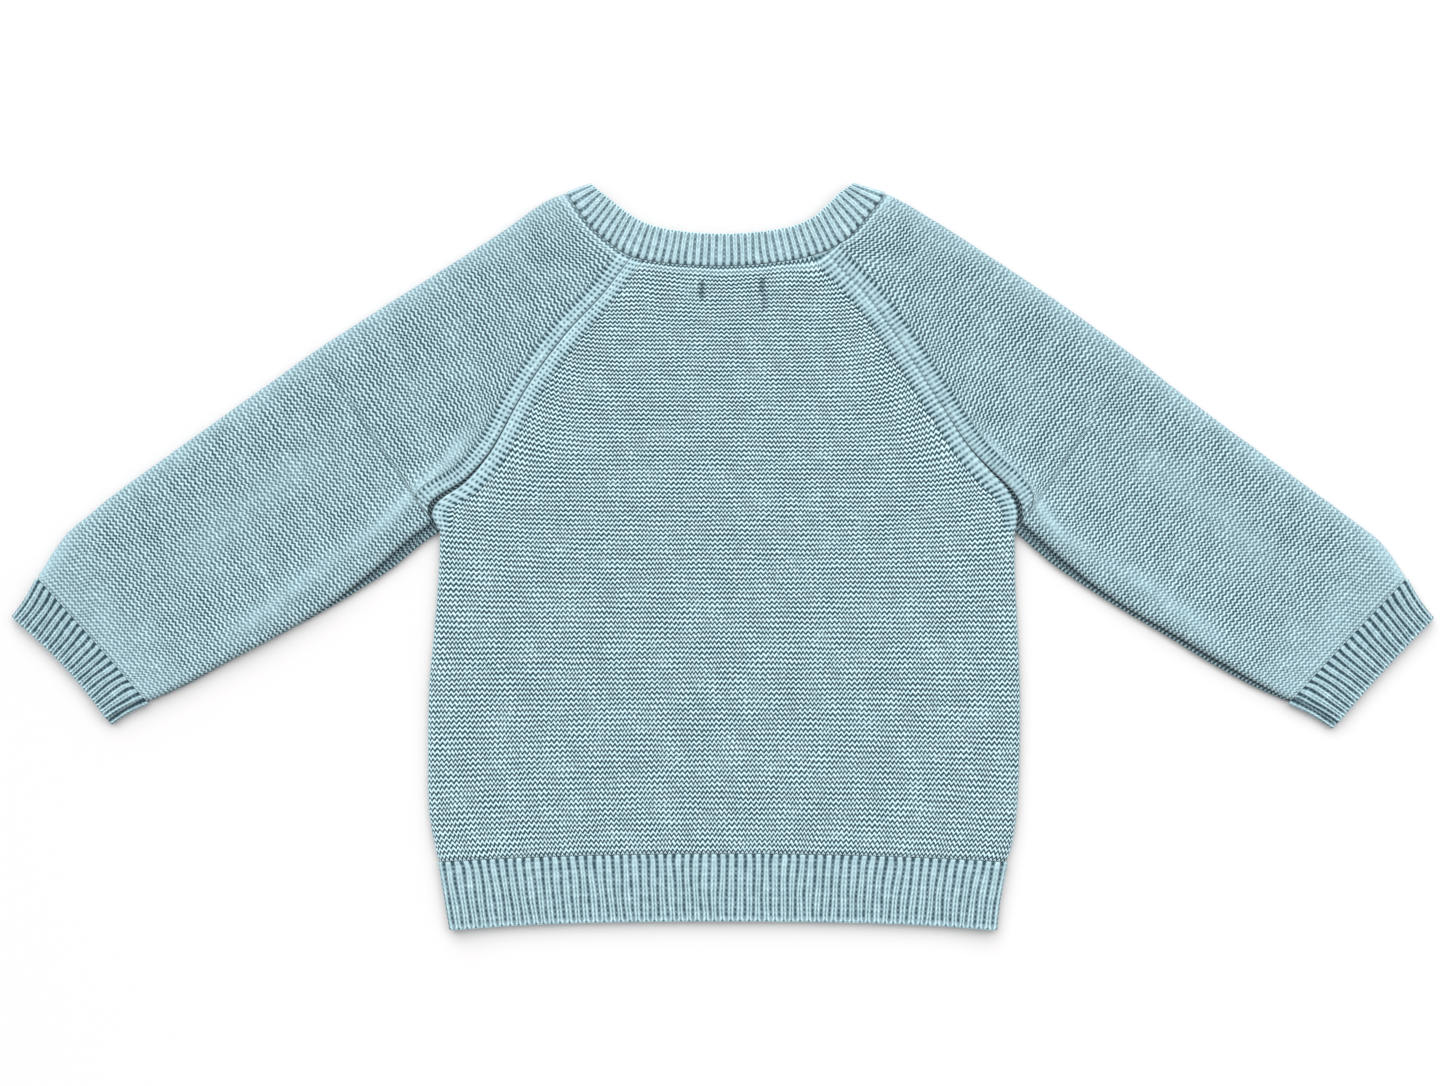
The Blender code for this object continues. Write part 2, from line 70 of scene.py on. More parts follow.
# How far the knit stands out or is sunk, in millimetres
BORDER_RAISE, LINK_RAISE, LABEL_LIFT = 0.1, 0.25, 0.18
HOLE_SINK, EDGE_SINK, END_SINK, UNDER_SINK = 0.2, 0.15, 0.4, 0.62
RIB_RAISE, RIB_STITCH, RIB_SPLIT, RIB_END_SINK = 0.9, 0.08, 0.1, 0.55

Edge = namedtuple("Edge", "y left right")
BODY_SIDES = (
    Edge(-167.5, -122.7, 123.0),
    Edge(-154.1, -124.9, 124.6),
    Edge(-137.0, -127.9, 127.9),
    Edge(-127.1, -130.2, 130.5),
    Edge(-113.6, -132.3, 132.4),
    Edge(-86.6, -132.7, 133.6),
    Edge(-59.6, -132.3, 133.7),
    Edge(-32.6, -129.9, 132.7),
    Edge(-5.6, -127.8, 131.4),
    Edge(11.2, -127.4, 131.5),
)
RAGLANS = (
    Edge(11.2, -127.4, 131.5),
    Edge(15.0, -129.4, 132.4),
    Edge(19.6, -130.9, 132.7),
    Edge(23.8, -129.4, 132.0),
    Edge(27.8, -124.6, 130.0),
    Edge(32.5, -117.6, 126.4),
    Edge(40.0, -110.2, 119.2),
    Edge(50.6, -102.6, 110.0),
    Edge(70.0, -92.2, 97.5),
    Edge(84.8, -82.8, 88.0),
    Edge(101.9, -69.7, 76.7),
    Edge(118.1, -54.5, 64.6),
    Edge(130.8, -44.7, 52.5),
    Edge(138.0, -39.2, 46.6),
)
ARMPIT = BODY_SIDES[-1].y

Course = namedtuple("Course", "middle end sharp")
HEM_BOTTOM = Course(-163.9, -167.8, 2.6)
COURSES = (
    Course(-133.3, -136.9, 2.0),
    Course(-60.0, -61.0, 2.0),
    Course(-20.0, -18.8, 3.0),
    Course(6.8, 11.2, 4.0),
    Course(30.5, 38.0, 6.0),
    Course(59.0, 69.0, 8.0),
    Course(90.0, 98.5, 7.0),
    Course(112.0, 118.0, 6.0),
    Course(131.2, 138.0, 4.0),
)
# Courses counted up the middle of the back: they lie closer towards the neck
Count = namedtuple("Count", "row middle")
COUNTS = (
    Count(0.0, -133.3),
    Count(24.0, -76.5),
    Count(50.0, -17.3),
    Count(75.0, 36.4),
    Count(100.0, 86.8),
    Count(124.0, 131.2),
)

Band = namedtuple("Band", "outer_x outer_y inner_x inner_y")
NECK_CORNERS = {
    ("left", UPPER): 135.4,
    ("right", UPPER): 138.0,
    ("left", LOWER): 121.7,
    ("right", LOWER): 124.8,
}
NECK_HEIGHT = 15.0
NECK_FADE = 0.35

# A sleeve's fold from its cuff to its neck, and its underarm from its cuff to the armpit
SLEEVE_FOLDS = {
    "left": (
        (-308.7, -8.9), (-296.1, 9.9), (-286.5, 18.2), (-275.4, 27.4), (-255.2, 42.1),
        (-230.7, 59.5), (-206.3, 76.9), (-183.5, 93.0), (-161.4, 107.4), (-146.8, 116.7),
        (-130.2, 127.0), (-116.7, 135.6), (-101.0, 145.6), (-85.5, 156.6), (-78.2, 161.1),
        (-70.5, 163.9),
    ),
    "right": (
        (307.7, -9.2), (296.4, 6.6), (286.2, 14.7), (274.7, 23.4), (254.6, 38.2),
        (230.3, 55.9), (206.3, 73.9), (185.0, 90.7), (167.0, 103.8), (152.4, 114.2),
        (134.9, 125.9), (121.5, 134.7), (105.6, 145.2), (90.4, 154.6), (81.6, 159.8),
        (73.4, 163.8),
    ),
}
UNDERARMS = {
    "left": (
        (-258.5, -65.5), (-241.4, -57.9), (-220.8, -46.6), (-199.7, -35.6), (-173.9, -21.4),
        (-149.4, -5.8), (-136.0, 5.2), (-127.4, 11.2),
    ),
    "right": (
        (254.5, -65.5), (239.5, -58.9), (219.1, -47.8), (199.1, -35.6), (174.4, -20.9),
        (150.2, -4.9), (139.6, 3.9), (131.5, 11.2),
    ),
}
# How steep a sleeve's courses are, by their share of the way up its seam
Tilt = namedtuple("Tilt", "share angle")
TILTS = (Tilt(0.1, 50.5), Tilt(0.3, 52.5), Tilt(0.5, 55.5), Tilt(0.75, 57.0), Tilt(0.9, 53.0))
CUFF_WAIST = 0.8
CUFF_LEDGE = {"left": 2.8, "right": 3.6}  # how wide the under side shows below the upper one
LEDGE_DROP = 1.5
CUFF_BOW = {"left": 2.3, "right": 0.8}
# The fold and the underarm at a cuff's free edge
CUFF_ENDS = {"left": ((-320.0, -27.0), (-275.8, -75.0)), "right": ((319.9, -27.7), (275.0, -76.8))}

Rise = namedtuple("Rise", "x0 y0 x1 y1 height reach")
EDGE_RISES = (
    Rise(-70.5, 163.9, -305.0, -5.0, 1.6, 20.0),
    Rise(73.4, 163.8, 305.0, -5.0, 1.6, 20.0),
    Rise(-127.4, 11.2, -258.5, -65.5, 1.6, 18.0),
    Rise(131.5, 11.2, 254.5, -65.5, 1.6, 18.0),
    Rise(-127.4, 11.2, -122.7, -167.5, 1.6, 16.0),
    Rise(131.5, 11.2, 123.0, -167.5, 1.6, 16.0),
)
SOFT_RIDGES = (
    Rise(-122.0, 44.0, -152.0, 14.0, 1.5, 7.0),
    Rise(-152.0, 14.0, -222.0, -36.0, 1.1, 8.0),
    Rise(124.0, 46.0, 157.0, 6.0, 1.5, 7.0),
    Rise(157.0, 6.0, 226.0, -43.0, 1.1, 8.0),
)
EDGE_BLEND = 3.0

# Soft creases of the sleeves, finer than the solids' ridges, as lines through plan points
# Along them a highlight is also painted
Crease = namedtuple("Crease", "points height reach")
CREASES = (
    Crease(((-110, 62), (-125, 42), (-135, 33), (-144, 24), (-153, 15), (-175, -1)), 0.75, 3.6),
    Crease(((-175, -1), (-200, -20), (-224, -38)), 0.5, 5.0),
    Crease(
        (
            (111, 61), (124, 46), (129, 39), (134.5, 33.5),
            (140.5, 26), (146, 17.5), (152, 10), (174, -4.5),
        ),
        0.85, 3.4,
    ),
    Crease(((176, -3), (200, -20), (226, -40)), 0.5, 5.0),
    Crease(((-176, 50), (-215, 22), (-246, -6)), 0.3, 8.0),
    Crease(((182, 52), (222, 20), (252, -8)), 0.3, 8.0),
)

# The hollows in the sleeves beside the armpits, also painted darker as shade
PITS = (
    Crease(((-130.2, 6), (-131.6, 14), (-132.0, 19), (-129.6, 25), (-125.6, 29.5)), -1.2, 0.85),
    Crease(((132.0, 6), (133.2, 14), (133.4, 20), (131.6, 26), (127.4, 32)), -1.2, 0.85),
)

# How far the front of a sleeve shows below its back, along the sleeve from the cuff up
Peek = namedtuple("Peek", "row amount")
PEEK_FADE = 8  # how fast that ends above the armpit
PEEKS = {
    "left": (
        Peek(0, 1.0), Peek(12, 1.2), Peek(30, 0.8), Peek(46, 1.8),
        Peek(56, 3.8), Peek(66, 5.6), Peek(80, 5.6),
    ),
    "right": (
        Peek(0, 1.6), Peek(10, 3.0), Peek(24, 3.2), Peek(40, 2.6),
        Peek(50, 3.0), Peek(60, 4.6), Peek(68, 5.4), Peek(80, 5.4),
    ),
}

# Where a label's sewing on the inside dents the back, painted darker as shade in the dents
Tack = namedtuple("Tack", "x top foot depth")
TACKS = (
    Tack(-9.6, 123.6, 117.4, 1.5),
    Tack(17.6, 124.6, 119.6, 1.5),
    Tack(18.6, 119.6, 111.5, 0.6),
)
TACK_WIDTH = 0.95
LABEL_TOP, LABEL_FOOT = 123.4, 98.0

# The knit, in stitches: u wales across and v courses up
BODY_WALES = 135
BODY_BORDER = 3.5  # wales of the fashioned border
SLEEVE_WALES = 43
SLEEVE_BORDER = 3.0
SLEEVE_COURSE = 2.02
BODY_BEND = 45.0  # how far up the raglan the back's courses turn square to it
BEND = 25.0  # how far from a border the sleeve's courses start to bend
ROW_SLIP = 0.05  # how far every half course is moved along itself, in wales
SLIP = 0.5  # how far the stitches waver along their course, in wales
DRIFT = 0.16  # how far the courses waver up and down, in courses
FLATTER = 0.0018  # how much of its wave the back's knit loses with every course up
ROUGH = 0.12  # how uneven the stitches' height is, as a share of their depth
SEED = 7
MOST_HALF_COURSES = 400
RIB_STEPS = 6
HEM_RIBS, HEM_ROWS = 65, 14
CUFF_RIBS, CUFF_ROWS = 21, 11
NECK_RIBS, NECK_ROWS = 46, 7
# How far a rib's grooves stand out from its yarn, and how deep its shade is
RibLook = namedtuple("RibLook", "contrast shade")
CUFF_LOOK, HEM_LOOK, NECK_LOOK = RibLook(1.6, 0.46), RibLook(1.3, 0.39), RibLook(1.05, 0.31)
# A piece that lies underneath, or shows little, has whole steps between these wales
FRONT_FINE = 8
SLEEVE_SPARSE = 50, 80

# The lights, the camera's aim and the floor, in metres
KEY_ANGLE = math.radians(70)
KEY_PLACE, SIDE_PLACE, SIDE_SIZE = (-0.45, 1.9, 2.6), (1.8, 0.6, 2.4), 1.8
AIM_X, AIM_Y, AIM_Z = 0.0005, 0.0065, 0.005
FLOOR_REACH = 4.0


def smooth(keys, values, key):
    """The values at some keys, on a smooth curve through a table."""
    keys, values = np.asarray(keys, float), np.asarray(values, float)
    key = np.clip(key, keys[0], keys[-1])
    i = np.clip(np.searchsorted(keys, key, side="right") - 1, 0, len(keys) - 2)
    slopes = np.empty(len(keys))
    slopes[1:-1] = (values[2:] - values[:-2]) / (keys[2:] - keys[:-2])
    slopes[0] = (values[1] - values[0]) / (keys[1] - keys[0])
    slopes[-1] = (values[-1] - values[-2]) / (keys[-1] - keys[-2])
    span = keys[i + 1] - keys[i]
    t = (key - keys[i]) / span
    start = (2 * t**3 - 3 * t**2 + 1) * values[i] + (t**3 - 2 * t**2 + t) * span * slopes[i]
    end = (3 * t**2 - 2 * t**3) * values[i + 1] + (t**3 - t**2) * span * slopes[i + 1]
    return start + end


def read(table, key_column, value_column, key):
    keys = [getattr(row, key_column) for row in table]
    return smooth(keys, [getattr(row, value_column) for row in table], key)


def ease(t):
    t = np.clip(t, 0.0, 1.0)
    return t * t * (3 - 2 * t)


def mix(a, b, share):
    return a + (b - a) * share


def plan(x, y):
    """Plan points from two arrays or numbers."""
    return np.stack(np.broadcast_arrays(np.asarray(x, float), np.asarray(y, float)), -1)


def length(v):
    return np.sqrt((v**2).sum(-1))


def unit(v):
    return v / length(v)[..., None]


def edge_x(side, y):
    return np.where(y < ARMPIT, read(BODY_SIDES, "y", side, y), read(RAGLANS, "y", side, y))


def seam_normal(side, y):
    """The way out of a raglan seam into the body, in plan."""
    run = edge_x(side, y + 1.5) - edge_x(side, y - 1.5)
    sign = 1 if side == "left" else -1
    return unit(plan(sign * 3.0, -sign * run))


def seam_turn(y):
    return QUARTER * ease((y - ARMPIT) / TURN_SQUARE)


def rise(line, x, y):
    along_x, along_y = line.x1 - line.x0, line.y1 - line.y0
    t = ((x - line.x0) * along_x + (y - line.y0) * along_y) / (along_x**2 + along_y**2)
    t = np.clip(t, 0.0, 1.0)
    away = np.hypot(x - line.x0 - t * along_x, y - line.y0 - t * along_y)
    return line.height * np.exp(-((away / line.reach) ** 2))


def crease(line, x, y):
    """Height of a crease: full along its length and fading towards its ends."""
    points = np.array(line.points, float)
    best = np.zeros(np.shape(x))
    for i, (start, end) in enumerate(zip(points[:-1], points[1:])):
        run = end - start
        t = np.clip(((x - start[0]) * run[0] + (y - start[1]) * run[1]) / (run**2).sum(), 0.0, 1.0)
        away = np.hypot(x - start[0] - t * run[0], y - start[1] - t * run[1])
        along = (i + t) / (len(points) - 1)
        fade = ease(along / 0.15) * ease((1 - along) / 0.25) * 0.7 + 0.3
        best = np.maximum(best, fade * np.exp(-((away / line.reach) ** 2)))
    return line.height * best


def creases(x, y, lines=CREASES):
    return sum(crease(line, x, y) for line in lines)


def top(x, y):
    edges = sum(rise(line, x, y) ** EDGE_BLEND for line in EDGE_RISES) ** (1 / EDGE_BLEND)
    ridges = sum(rise(line, x, y) ** EDGE_BLEND for line in SOFT_RIDGES) ** (1 / EDGE_BLEND)
    return LAID + edges + ridges + creases(x, y, CREASES + PITS)


def roll(start, cloth):
    """Plan distance and turn of a point this far in the cloth from an edge turned so far."""
    turn = np.minimum(start + cloth / ROLL, QUARTER)
    rolled = ROLL * (np.cos(start) - np.cos(turn))
    return rolled + np.maximum(0.0, cloth - ROLL * (QUARTER - start)), turn


def spare(start):
    """How much longer the cloth of a rolled edge is than its plan."""
    return ROLL * (QUARTER - start - np.cos(start))


def between(start, cloth, cloth_length, width, first=0.0):
    """Plan distance, turn and the way in of a point between two rolled edges."""
    near, near_turn = roll(first, cloth)
    far, far_turn = roll(start, cloth_length - cloth)
    early = cloth < cloth_length / 2
    distance = np.where(early, near, width - far)
    return distance, np.where(early, near_turn, far_turn), np.where(early, 1.0, -1.0)


def cloth_point(at, inward, turn, sink, layer, gap, drop=0.0):
    """Points of a wall, sunk under its face, where the cloth has turned so far round its fold."""
    face = np.where(layer == UPPER, top(at[:, 0], at[:, 1]) - drop, 2 * ROLL)
    climb = (face - ROLL - gap - sink) * np.sin(turn)
    moved = at + inward * (sink * np.cos(turn))[:, None]
    return np.column_stack([moved, ROLL + layer * (gap + climb)])


def lengths_along(points):
    return np.concatenate([[0.0], np.cumsum(length(np.diff(points, axis=0)))])


def dense(points):
    """Many plan points on a smooth curve through a few."""
    points = np.array(points, float)
    along = lengths_along(points)
    many = np.linspace(0.0, along[-1], LINE_SAMPLES)
    return np.column_stack([smooth(along, column, many) for column in points.T])


def neck_tables():
    corners = {key: float(edge_x(key[0], y)) for key, y in NECK_CORNERS.items()}
    back = (
        Band(-70.5, 163.9, -59.2, 167.9),
        Band(-60.4, 149.9, -51.0, 161.5),
        Band(-50.2, 140.8, -42.4, 154.9),
        Band(corners["left", UPPER], NECK_CORNERS["left", UPPER], -35.0, 150.8),
        Band(-24.1, 132.3, -21.5, 147.3),
        Band(2.4, 131.1, 2.4, 145.8),
        Band(30.8, 133.7, 27.5, 148.3),
        Band(corners["right", UPPER], NECK_CORNERS["right", UPPER], 39.6, 152.7),
        Band(56.5, 143.9, 46.8, 158.6),
        Band(65.4, 153.6, 53.0, 164.6),
        Band(73.4, 163.8, 58.4, 168.1),
    )
    front = (
        Band(-70.5, 163.9, -59.2, 167.9),
        Band(-67.8, 147.0, -55.5, 153.5),
        Band(-61.2, 133.0, -49.5, 141.5),
        Band(corners["left", LOWER], NECK_CORNERS["left", LOWER], -42.0, 133.2),
        Band(-36.0, 111.8, -29.5, 125.0),
        Band(-17.5, 105.8, -14.5, 120.0),
        Band(1.5, 104.2, 1.5, 118.8),
        Band(20.5, 105.8, 17.5, 120.0),
        Band(40.5, 112.4, 33.5, 125.4),
        Band(corners["right", LOWER], NECK_CORNERS["right", LOWER], 47.0, 134.6),
        Band(66.8, 135.6, 54.0, 142.5),
        Band(71.8, 148.6, 57.6, 154.0),
        Band(73.4, 163.8, 58.4, 168.1),
    )
    return {UPPER: back, LOWER: front}


NECK = neck_tables()


def band_lengths(layer):
    rows = np.array(NECK[layer])
    middles = (rows[:, :2] + rows[:, 2:]) / 2
    return lengths_along(middles)


BAND_LENGTHS = {layer: band_lengths(layer) for layer in (UPPER, LOWER)}


def band_point(layer, along, across):
    """Plan points of the band: so far along it, from 0 at its sewn edge to 1 at its free one."""
    columns = [smooth(BAND_LENGTHS[layer], column, along) for column in zip(*NECK[layer])]
    return plan(mix(columns[0], columns[2], across), mix(columns[1], columns[3], across))


def corner_length(side, layer):
    ys = [row.outer_y for row in NECK[layer]]
    return BAND_LENGTHS[layer][ys.index(NECK_CORNERS[side, layer])]


def neck_inward(side):
    row = NECK[UPPER][0 if side == "left" else -1]
    along = unit(np.array([row.inner_x - row.outer_x, row.inner_y - row.outer_y]))
    inward = np.array([along[1], -along[0]])
    return inward if side == "left" else -inward


def neck_share(station):
    return ease((station - 1 + NECK_FADE) / NECK_FADE)


def wander(x, y, seed):
    """A slow, even, repeatable waver between -1 and 1 over the cloth."""
    a = np.sin(0.31 * x + 0.17 * y + seed) + np.sin(-0.13 * x + 0.29 * y + 2.1 * seed)
    return (a + np.sin(0.071 * x - 0.093 * y + 3.7 * seed)) / 3


class Panel:
    """The back or the front: wales u from its left edge, courses v up from its hem."""

    def __init__(self, layer):
        self.layer = layer
        self.left, self.right = NECK_CORNERS["left", layer], NECK_CORNERS["right", layer]
        last = read(COURSES, "end", "middle", (self.left + self.right) / 2)
        self.courses = float(read(COUNTS, "middle", "row", last))
        if layer == UPPER:
            self.courses = COUNTS[-1].row
        last = read(COUNTS, "row", "middle", self.courses)
        self.last_end = float(read(COURSES, "middle", "end", last))
        self.width = float(edge_x("right", ARMPIT) - edge_x("left", ARMPIT))
        self.pitch = (self.width + 2 * spare(0.0)) / BODY_WALES
        self.lengths = corner_length("left", layer), corner_length("right", layer)

    def course(self, v):
        """The ends of some courses, their middles and how far they are up the raglan."""
        middle = read(COUNTS, "row", "middle", v)
        end = read(COURSES, "middle", "end", middle)
        station = np.clip((end - ARMPIT) / (self.last_end - ARMPIT), 0.0, 1.0)
        low = np.minimum(end, ARMPIT)
        corners = self.left, self.right
        ends = [np.where(station > 0, mix(ARMPIT, corner, station), low) for corner in corners]
        return middle, ends, station, read(COURSES, "middle", "sharp", middle)

    def flat(self, u, v):
        """Plan points with their turn, way in, station and how far they are across."""
        middle, (left_y, right_y), station, sharp = self.course(v)
        left, right = edge_x("left", left_y), edge_x("right", right_y)
        width = right - left
        cloth_length = width + 2 * spare(0.0)
        side_row = station == 0
        pitch = np.where(side_row, cloth_length / BODY_WALES, self.pitch)
        armpit_x = edge_x("left", ARMPIT)
        cloth, whole = u * pitch, np.where(side_row, cloth_length, self.width + 2 * spare(0.0))
        base, base_width = np.where(side_row, left, armpit_x), np.where(side_row, width, self.width)
        distance, turn, inward = between(0.0, cloth, whole, base_width)
        x = base + distance
        y = np.zeros_like(x)
        borders = []
        for side, edge, edge_y, from_edge in (
            ("left", left, left_y, u),
            ("right", right, right_y, BODY_WALES - u),
        ):
            start = seam_turn(edge_y)
            reach, _ = roll(start, BODY_BORDER * pitch)
            bent = ease((edge_y - ARMPIT) / BODY_BEND)
            sign = 1 if side == "left" else -1
            level = plan(np.full_like(x, sign), 0.0)
            way = unit(mix(level, seam_normal(side, edge_y), bent[:, None]))
            drop = (1 - bent) * (middle - edge_y) * (1 - (1 - 2 * reach / width) ** sharp)
            corner = plan(edge, edge_y) + way * reach[:, None] + plan(0.0 * x, drop)
            borders.append((from_edge, start, way, reach, drop, plan(edge, edge_y), corner))
        xm = (left + right) / 2
        x = np.clip(x, borders[0][6][:, 0], borders[1][6][:, 0])
        for sign, border in zip((-1, 1), borders):
            corner = border[6]
            share = np.clip((x - xm) / (corner[:, 0] - xm), 0.0, 1.0)
            y = np.where((x - xm) * sign > 0, middle + (corner[:, 1] - middle) * share**sharp, y)
        y = np.where(x == xm, middle, y)
        at = plan(x, y)
        free = (u > BODY_BORDER) & (u < BODY_WALES - BODY_BORDER) & ~side_row
        turn = np.where(free, QUARTER, turn)
        stitch = np.where(free, np.interp(x, *self.wale_places()), u)
        for (from_edge, start, way, reach, drop, edge, corner), sign in zip(borders, (1.0, -1.0)):
            inside = from_edge <= BODY_BORDER
            out, out_turn = roll(start, from_edge * pitch)
            point = edge + way * out[:, None] + plan(0.0 * x, drop * out / reach)
            at = np.where(inside[:, None], point, at)
            turn, inward = np.where(inside, out_turn, turn), np.where(inside, sign, inward)
        across = np.clip((at[:, 0] - left) / width, 0.0, 1.0)
        return at, turn, inward, station, across, stitch

    def wale_places(self):
        u = np.arange(0.0, BODY_WALES + 0.25, 0.5)
        distance, _, _ = between(0.0, u * self.pitch, self.width + 2 * spare(0.0), self.width)
        return edge_x("left", ARMPIT) + distance, u

    def place(self, u, v, sink):
        at, turn, inward, station, _, stitch = self.flat(u, v)
        last, _, _, _, across, _ = self.flat(u, np.full_like(v, self.courses))
        neck = band_point(self.layer, mix(*self.lengths, across), 0.0)
        at = at + (neck - last) * neck_share(station)[:, None]
        point = cloth_point(at, plan(inward, 0.0), turn, sink, self.layer, SEAM / 2)
        return point, stitch

    def is_right(self, u):
        return u > BODY_WALES / 2

    def border(self, u, v):
        """Wales from the edge, wales of the fashioned border, and how far up it has grown."""
        from_edge = np.minimum(u, BODY_WALES - u)
        _, (left_y, right_y), _, _ = self.course(v)
        grown = ease(((left_y + right_y) / 2 - ARMPIT + 4) / TURN_SQUARE)
        return from_edge, BODY_BORDER, grown


class Sleeve:
    """A sleeve: wales u from its back edge over the fold to its front edge, courses v up."""

    def __init__(self, side):
        self.side = side
        under, fold_line = dense(UNDERARMS[side]), dense(SLEEVE_FOLDS[side])
        seam_y = np.linspace(ARMPIT, NECK_CORNERS[side, UPPER], SEAM_SAMPLES)
        self.seam = np.vstack([under, plan(edge_x(side, seam_y), seam_y)[1:]])
        armpit = len(under) - 1
        ends = np.array([fold_line[0] - self.seam[0], fold_line[-1] - self.seam[-1]])
        first, last = np.degrees(np.arctan2(ends[:, 1], np.abs(ends[:, 0])))
        tilts = (Tilt(0.0, first), *TILTS, Tilt(1.0, last))
        share = lengths_along(self.seam)
        tilt = np.radians(read(tilts, "share", "angle", share / share[-1]))
        sign = 1 if side == "left" else -1
        square = plan(sign * np.sin(tilt), np.cos(tilt))
        order = range(len(fold_line))
        where = [np.interp(at @ way, fold_line @ way, order) for at, way in zip(self.seam, square)]
        where = np.maximum.accumulate(where)
        self.fold = np.column_stack([np.interp(where, order, c) for c in fold_line.T])
        moves = np.diff(self.fold, axis=0) + np.diff(self.seam, axis=0)
        spacing = np.maximum((moves * square[1:]).sum(-1) / 2, 0.0)
        spread = np.concatenate([[0.0], np.cumsum(spacing + 0.1 * np.diff(share))])
        self.arm_courses = round(spacing[:armpit].sum() / SLEEVE_COURSE)
        self.courses = self.arm_courses + round(spacing[armpit:].sum() / SLEEVE_COURSE)
        keys = (0.0, spread[armpit], spread[-1])
        self.rows = np.interp(spread, keys, (0, self.arm_courses, self.courses))
        self.stations = np.concatenate([np.zeros(armpit), np.linspace(0.0, 1.0, SEAM_SAMPLES)])
        width = length(self.fold[armpit] - self.seam[armpit])
        self.pitch = (width + 2 * spare(0.0)) / SLEEVE_WALES

    def course(self, v, layer):
        """Fold, seam, the seam's turn, its station and the height of its seam."""
        fold = np.column_stack([np.interp(v, self.rows, c) for c in self.fold.T])
        under = np.column_stack([np.interp(v, self.rows, c) for c in self.seam.T])
        station = np.interp(v, self.rows, self.stations)
        heights = {at: mix(ARMPIT, NECK_CORNERS[self.side, at], station) for at in (UPPER, LOWER)}
        seam_y = np.where(layer == UPPER, heights[UPPER], heights[LOWER])
        cap = (v > self.arm_courses)[:, None]
        seam = np.where(cap, plan(edge_x(self.side, seam_y), seam_y), under)
        return fold, seam, seam_turn(seam_y), station, seam_y

    def flat(self, u, v):
        layer = np.where(u <= SLEEVE_WALES, UPPER, LOWER)
        out = np.abs(u - SLEEVE_WALES)
        fold, seam, start, station, seam_y = self.course(v, layer)
        cap = v > self.arm_courses
        way = unit(seam - fold)
        peek = read(PEEKS[self.side], "row", "amount", v) * (1 - station) ** PEEK_FADE
        gap = np.where(cap, RAGLAN_SEAM, 0.0) + np.where(layer == UPPER, peek, 0.0)
        width = length(seam - fold) - gap
        cloth_length = width + spare(0.0) + spare(start)
        pitch = np.where(cap, self.pitch, cloth_length / SLEEVE_WALES)
        limit = cloth_length - SLEEVE_BORDER * pitch
        in_border = out >= SLEEVE_WALES - SLEEVE_BORDER
        from_end = (SLEEVE_WALES - out) * pitch
        cloth = np.where(in_border, cloth_length - from_end, np.minimum(out * pitch, limit))
        stitch = np.where(in_border, out, np.minimum(out, limit / pitch))
        distance, turn, inward = between(start, cloth, cloth_length, width)
        at = fold + way * distance[:, None]
        bent = np.where(cap, ease((seam_y - ARMPIT) / BEND), 0.0)
        rung = unit(mix(-way, -seam_normal(self.side, seam_y), bent[:, None]))
        reach, _ = roll(start, SLEEVE_BORDER * pitch)
        shift = (rung + way) * reach[:, None]
        from_seam = width - distance
        fading = np.clip(1 - (from_seam - reach) / np.minimum(BEND, 0.6 * width), 0.0, 1.0) ** 2
        share = np.where(from_seam < reach, from_seam / reach, fading)
        at = at + shift * share[:, None]
        stitch = np.sign(u - SLEEVE_WALES) * stitch
        return at, turn, inward, station, distance / width, layer, way, stitch

    def place(self, u, v, sink):
        at, turn, inward, station, _, layer, way, stitch = self.flat(u, v)
        last, _, _, _, across, _, _, _ = self.flat(u, np.full_like(v, self.courses))
        neck = np.zeros_like(at)
        for which in (UPPER, LOWER):
            ends = {"left": 0.0, "right": BAND_LENGTHS[which][-1]}
            along = mix(ends[self.side], corner_length(self.side, which), across)
            neck = np.where((layer == which)[:, None], band_point(which, along, 0.0), neck)
        turned = neck_share(station)[:, None]
        at = at + (neck - last) * turned
        fold, back, _, _, _ = self.course(v, np.full_like(layer, UPPER))
        _, front, _, _, _ = self.course(v, np.full_like(layer, LOWER))
        middle = unit((back + front) / 2 - fold)
        middle = unit(mix(middle, neck_inward(self.side)[None, :], turned))
        at_fold = (inward > 0)[:, None]
        inner = np.where(at_fold, middle, -way)
        gap = np.where(inward > 0, 0.0, SEAM / 2)
        return cloth_point(at, inner, turn, sink, layer, gap), stitch

    def is_right(self, u):
        return np.full(len(u), self.side == "right")

    def border(self, u, v):
        out = SLEEVE_WALES - np.abs(u - SLEEVE_WALES)
        grown = ease((v - self.arm_courses + 2) / 9)
        return out, SLEEVE_BORDER, grown


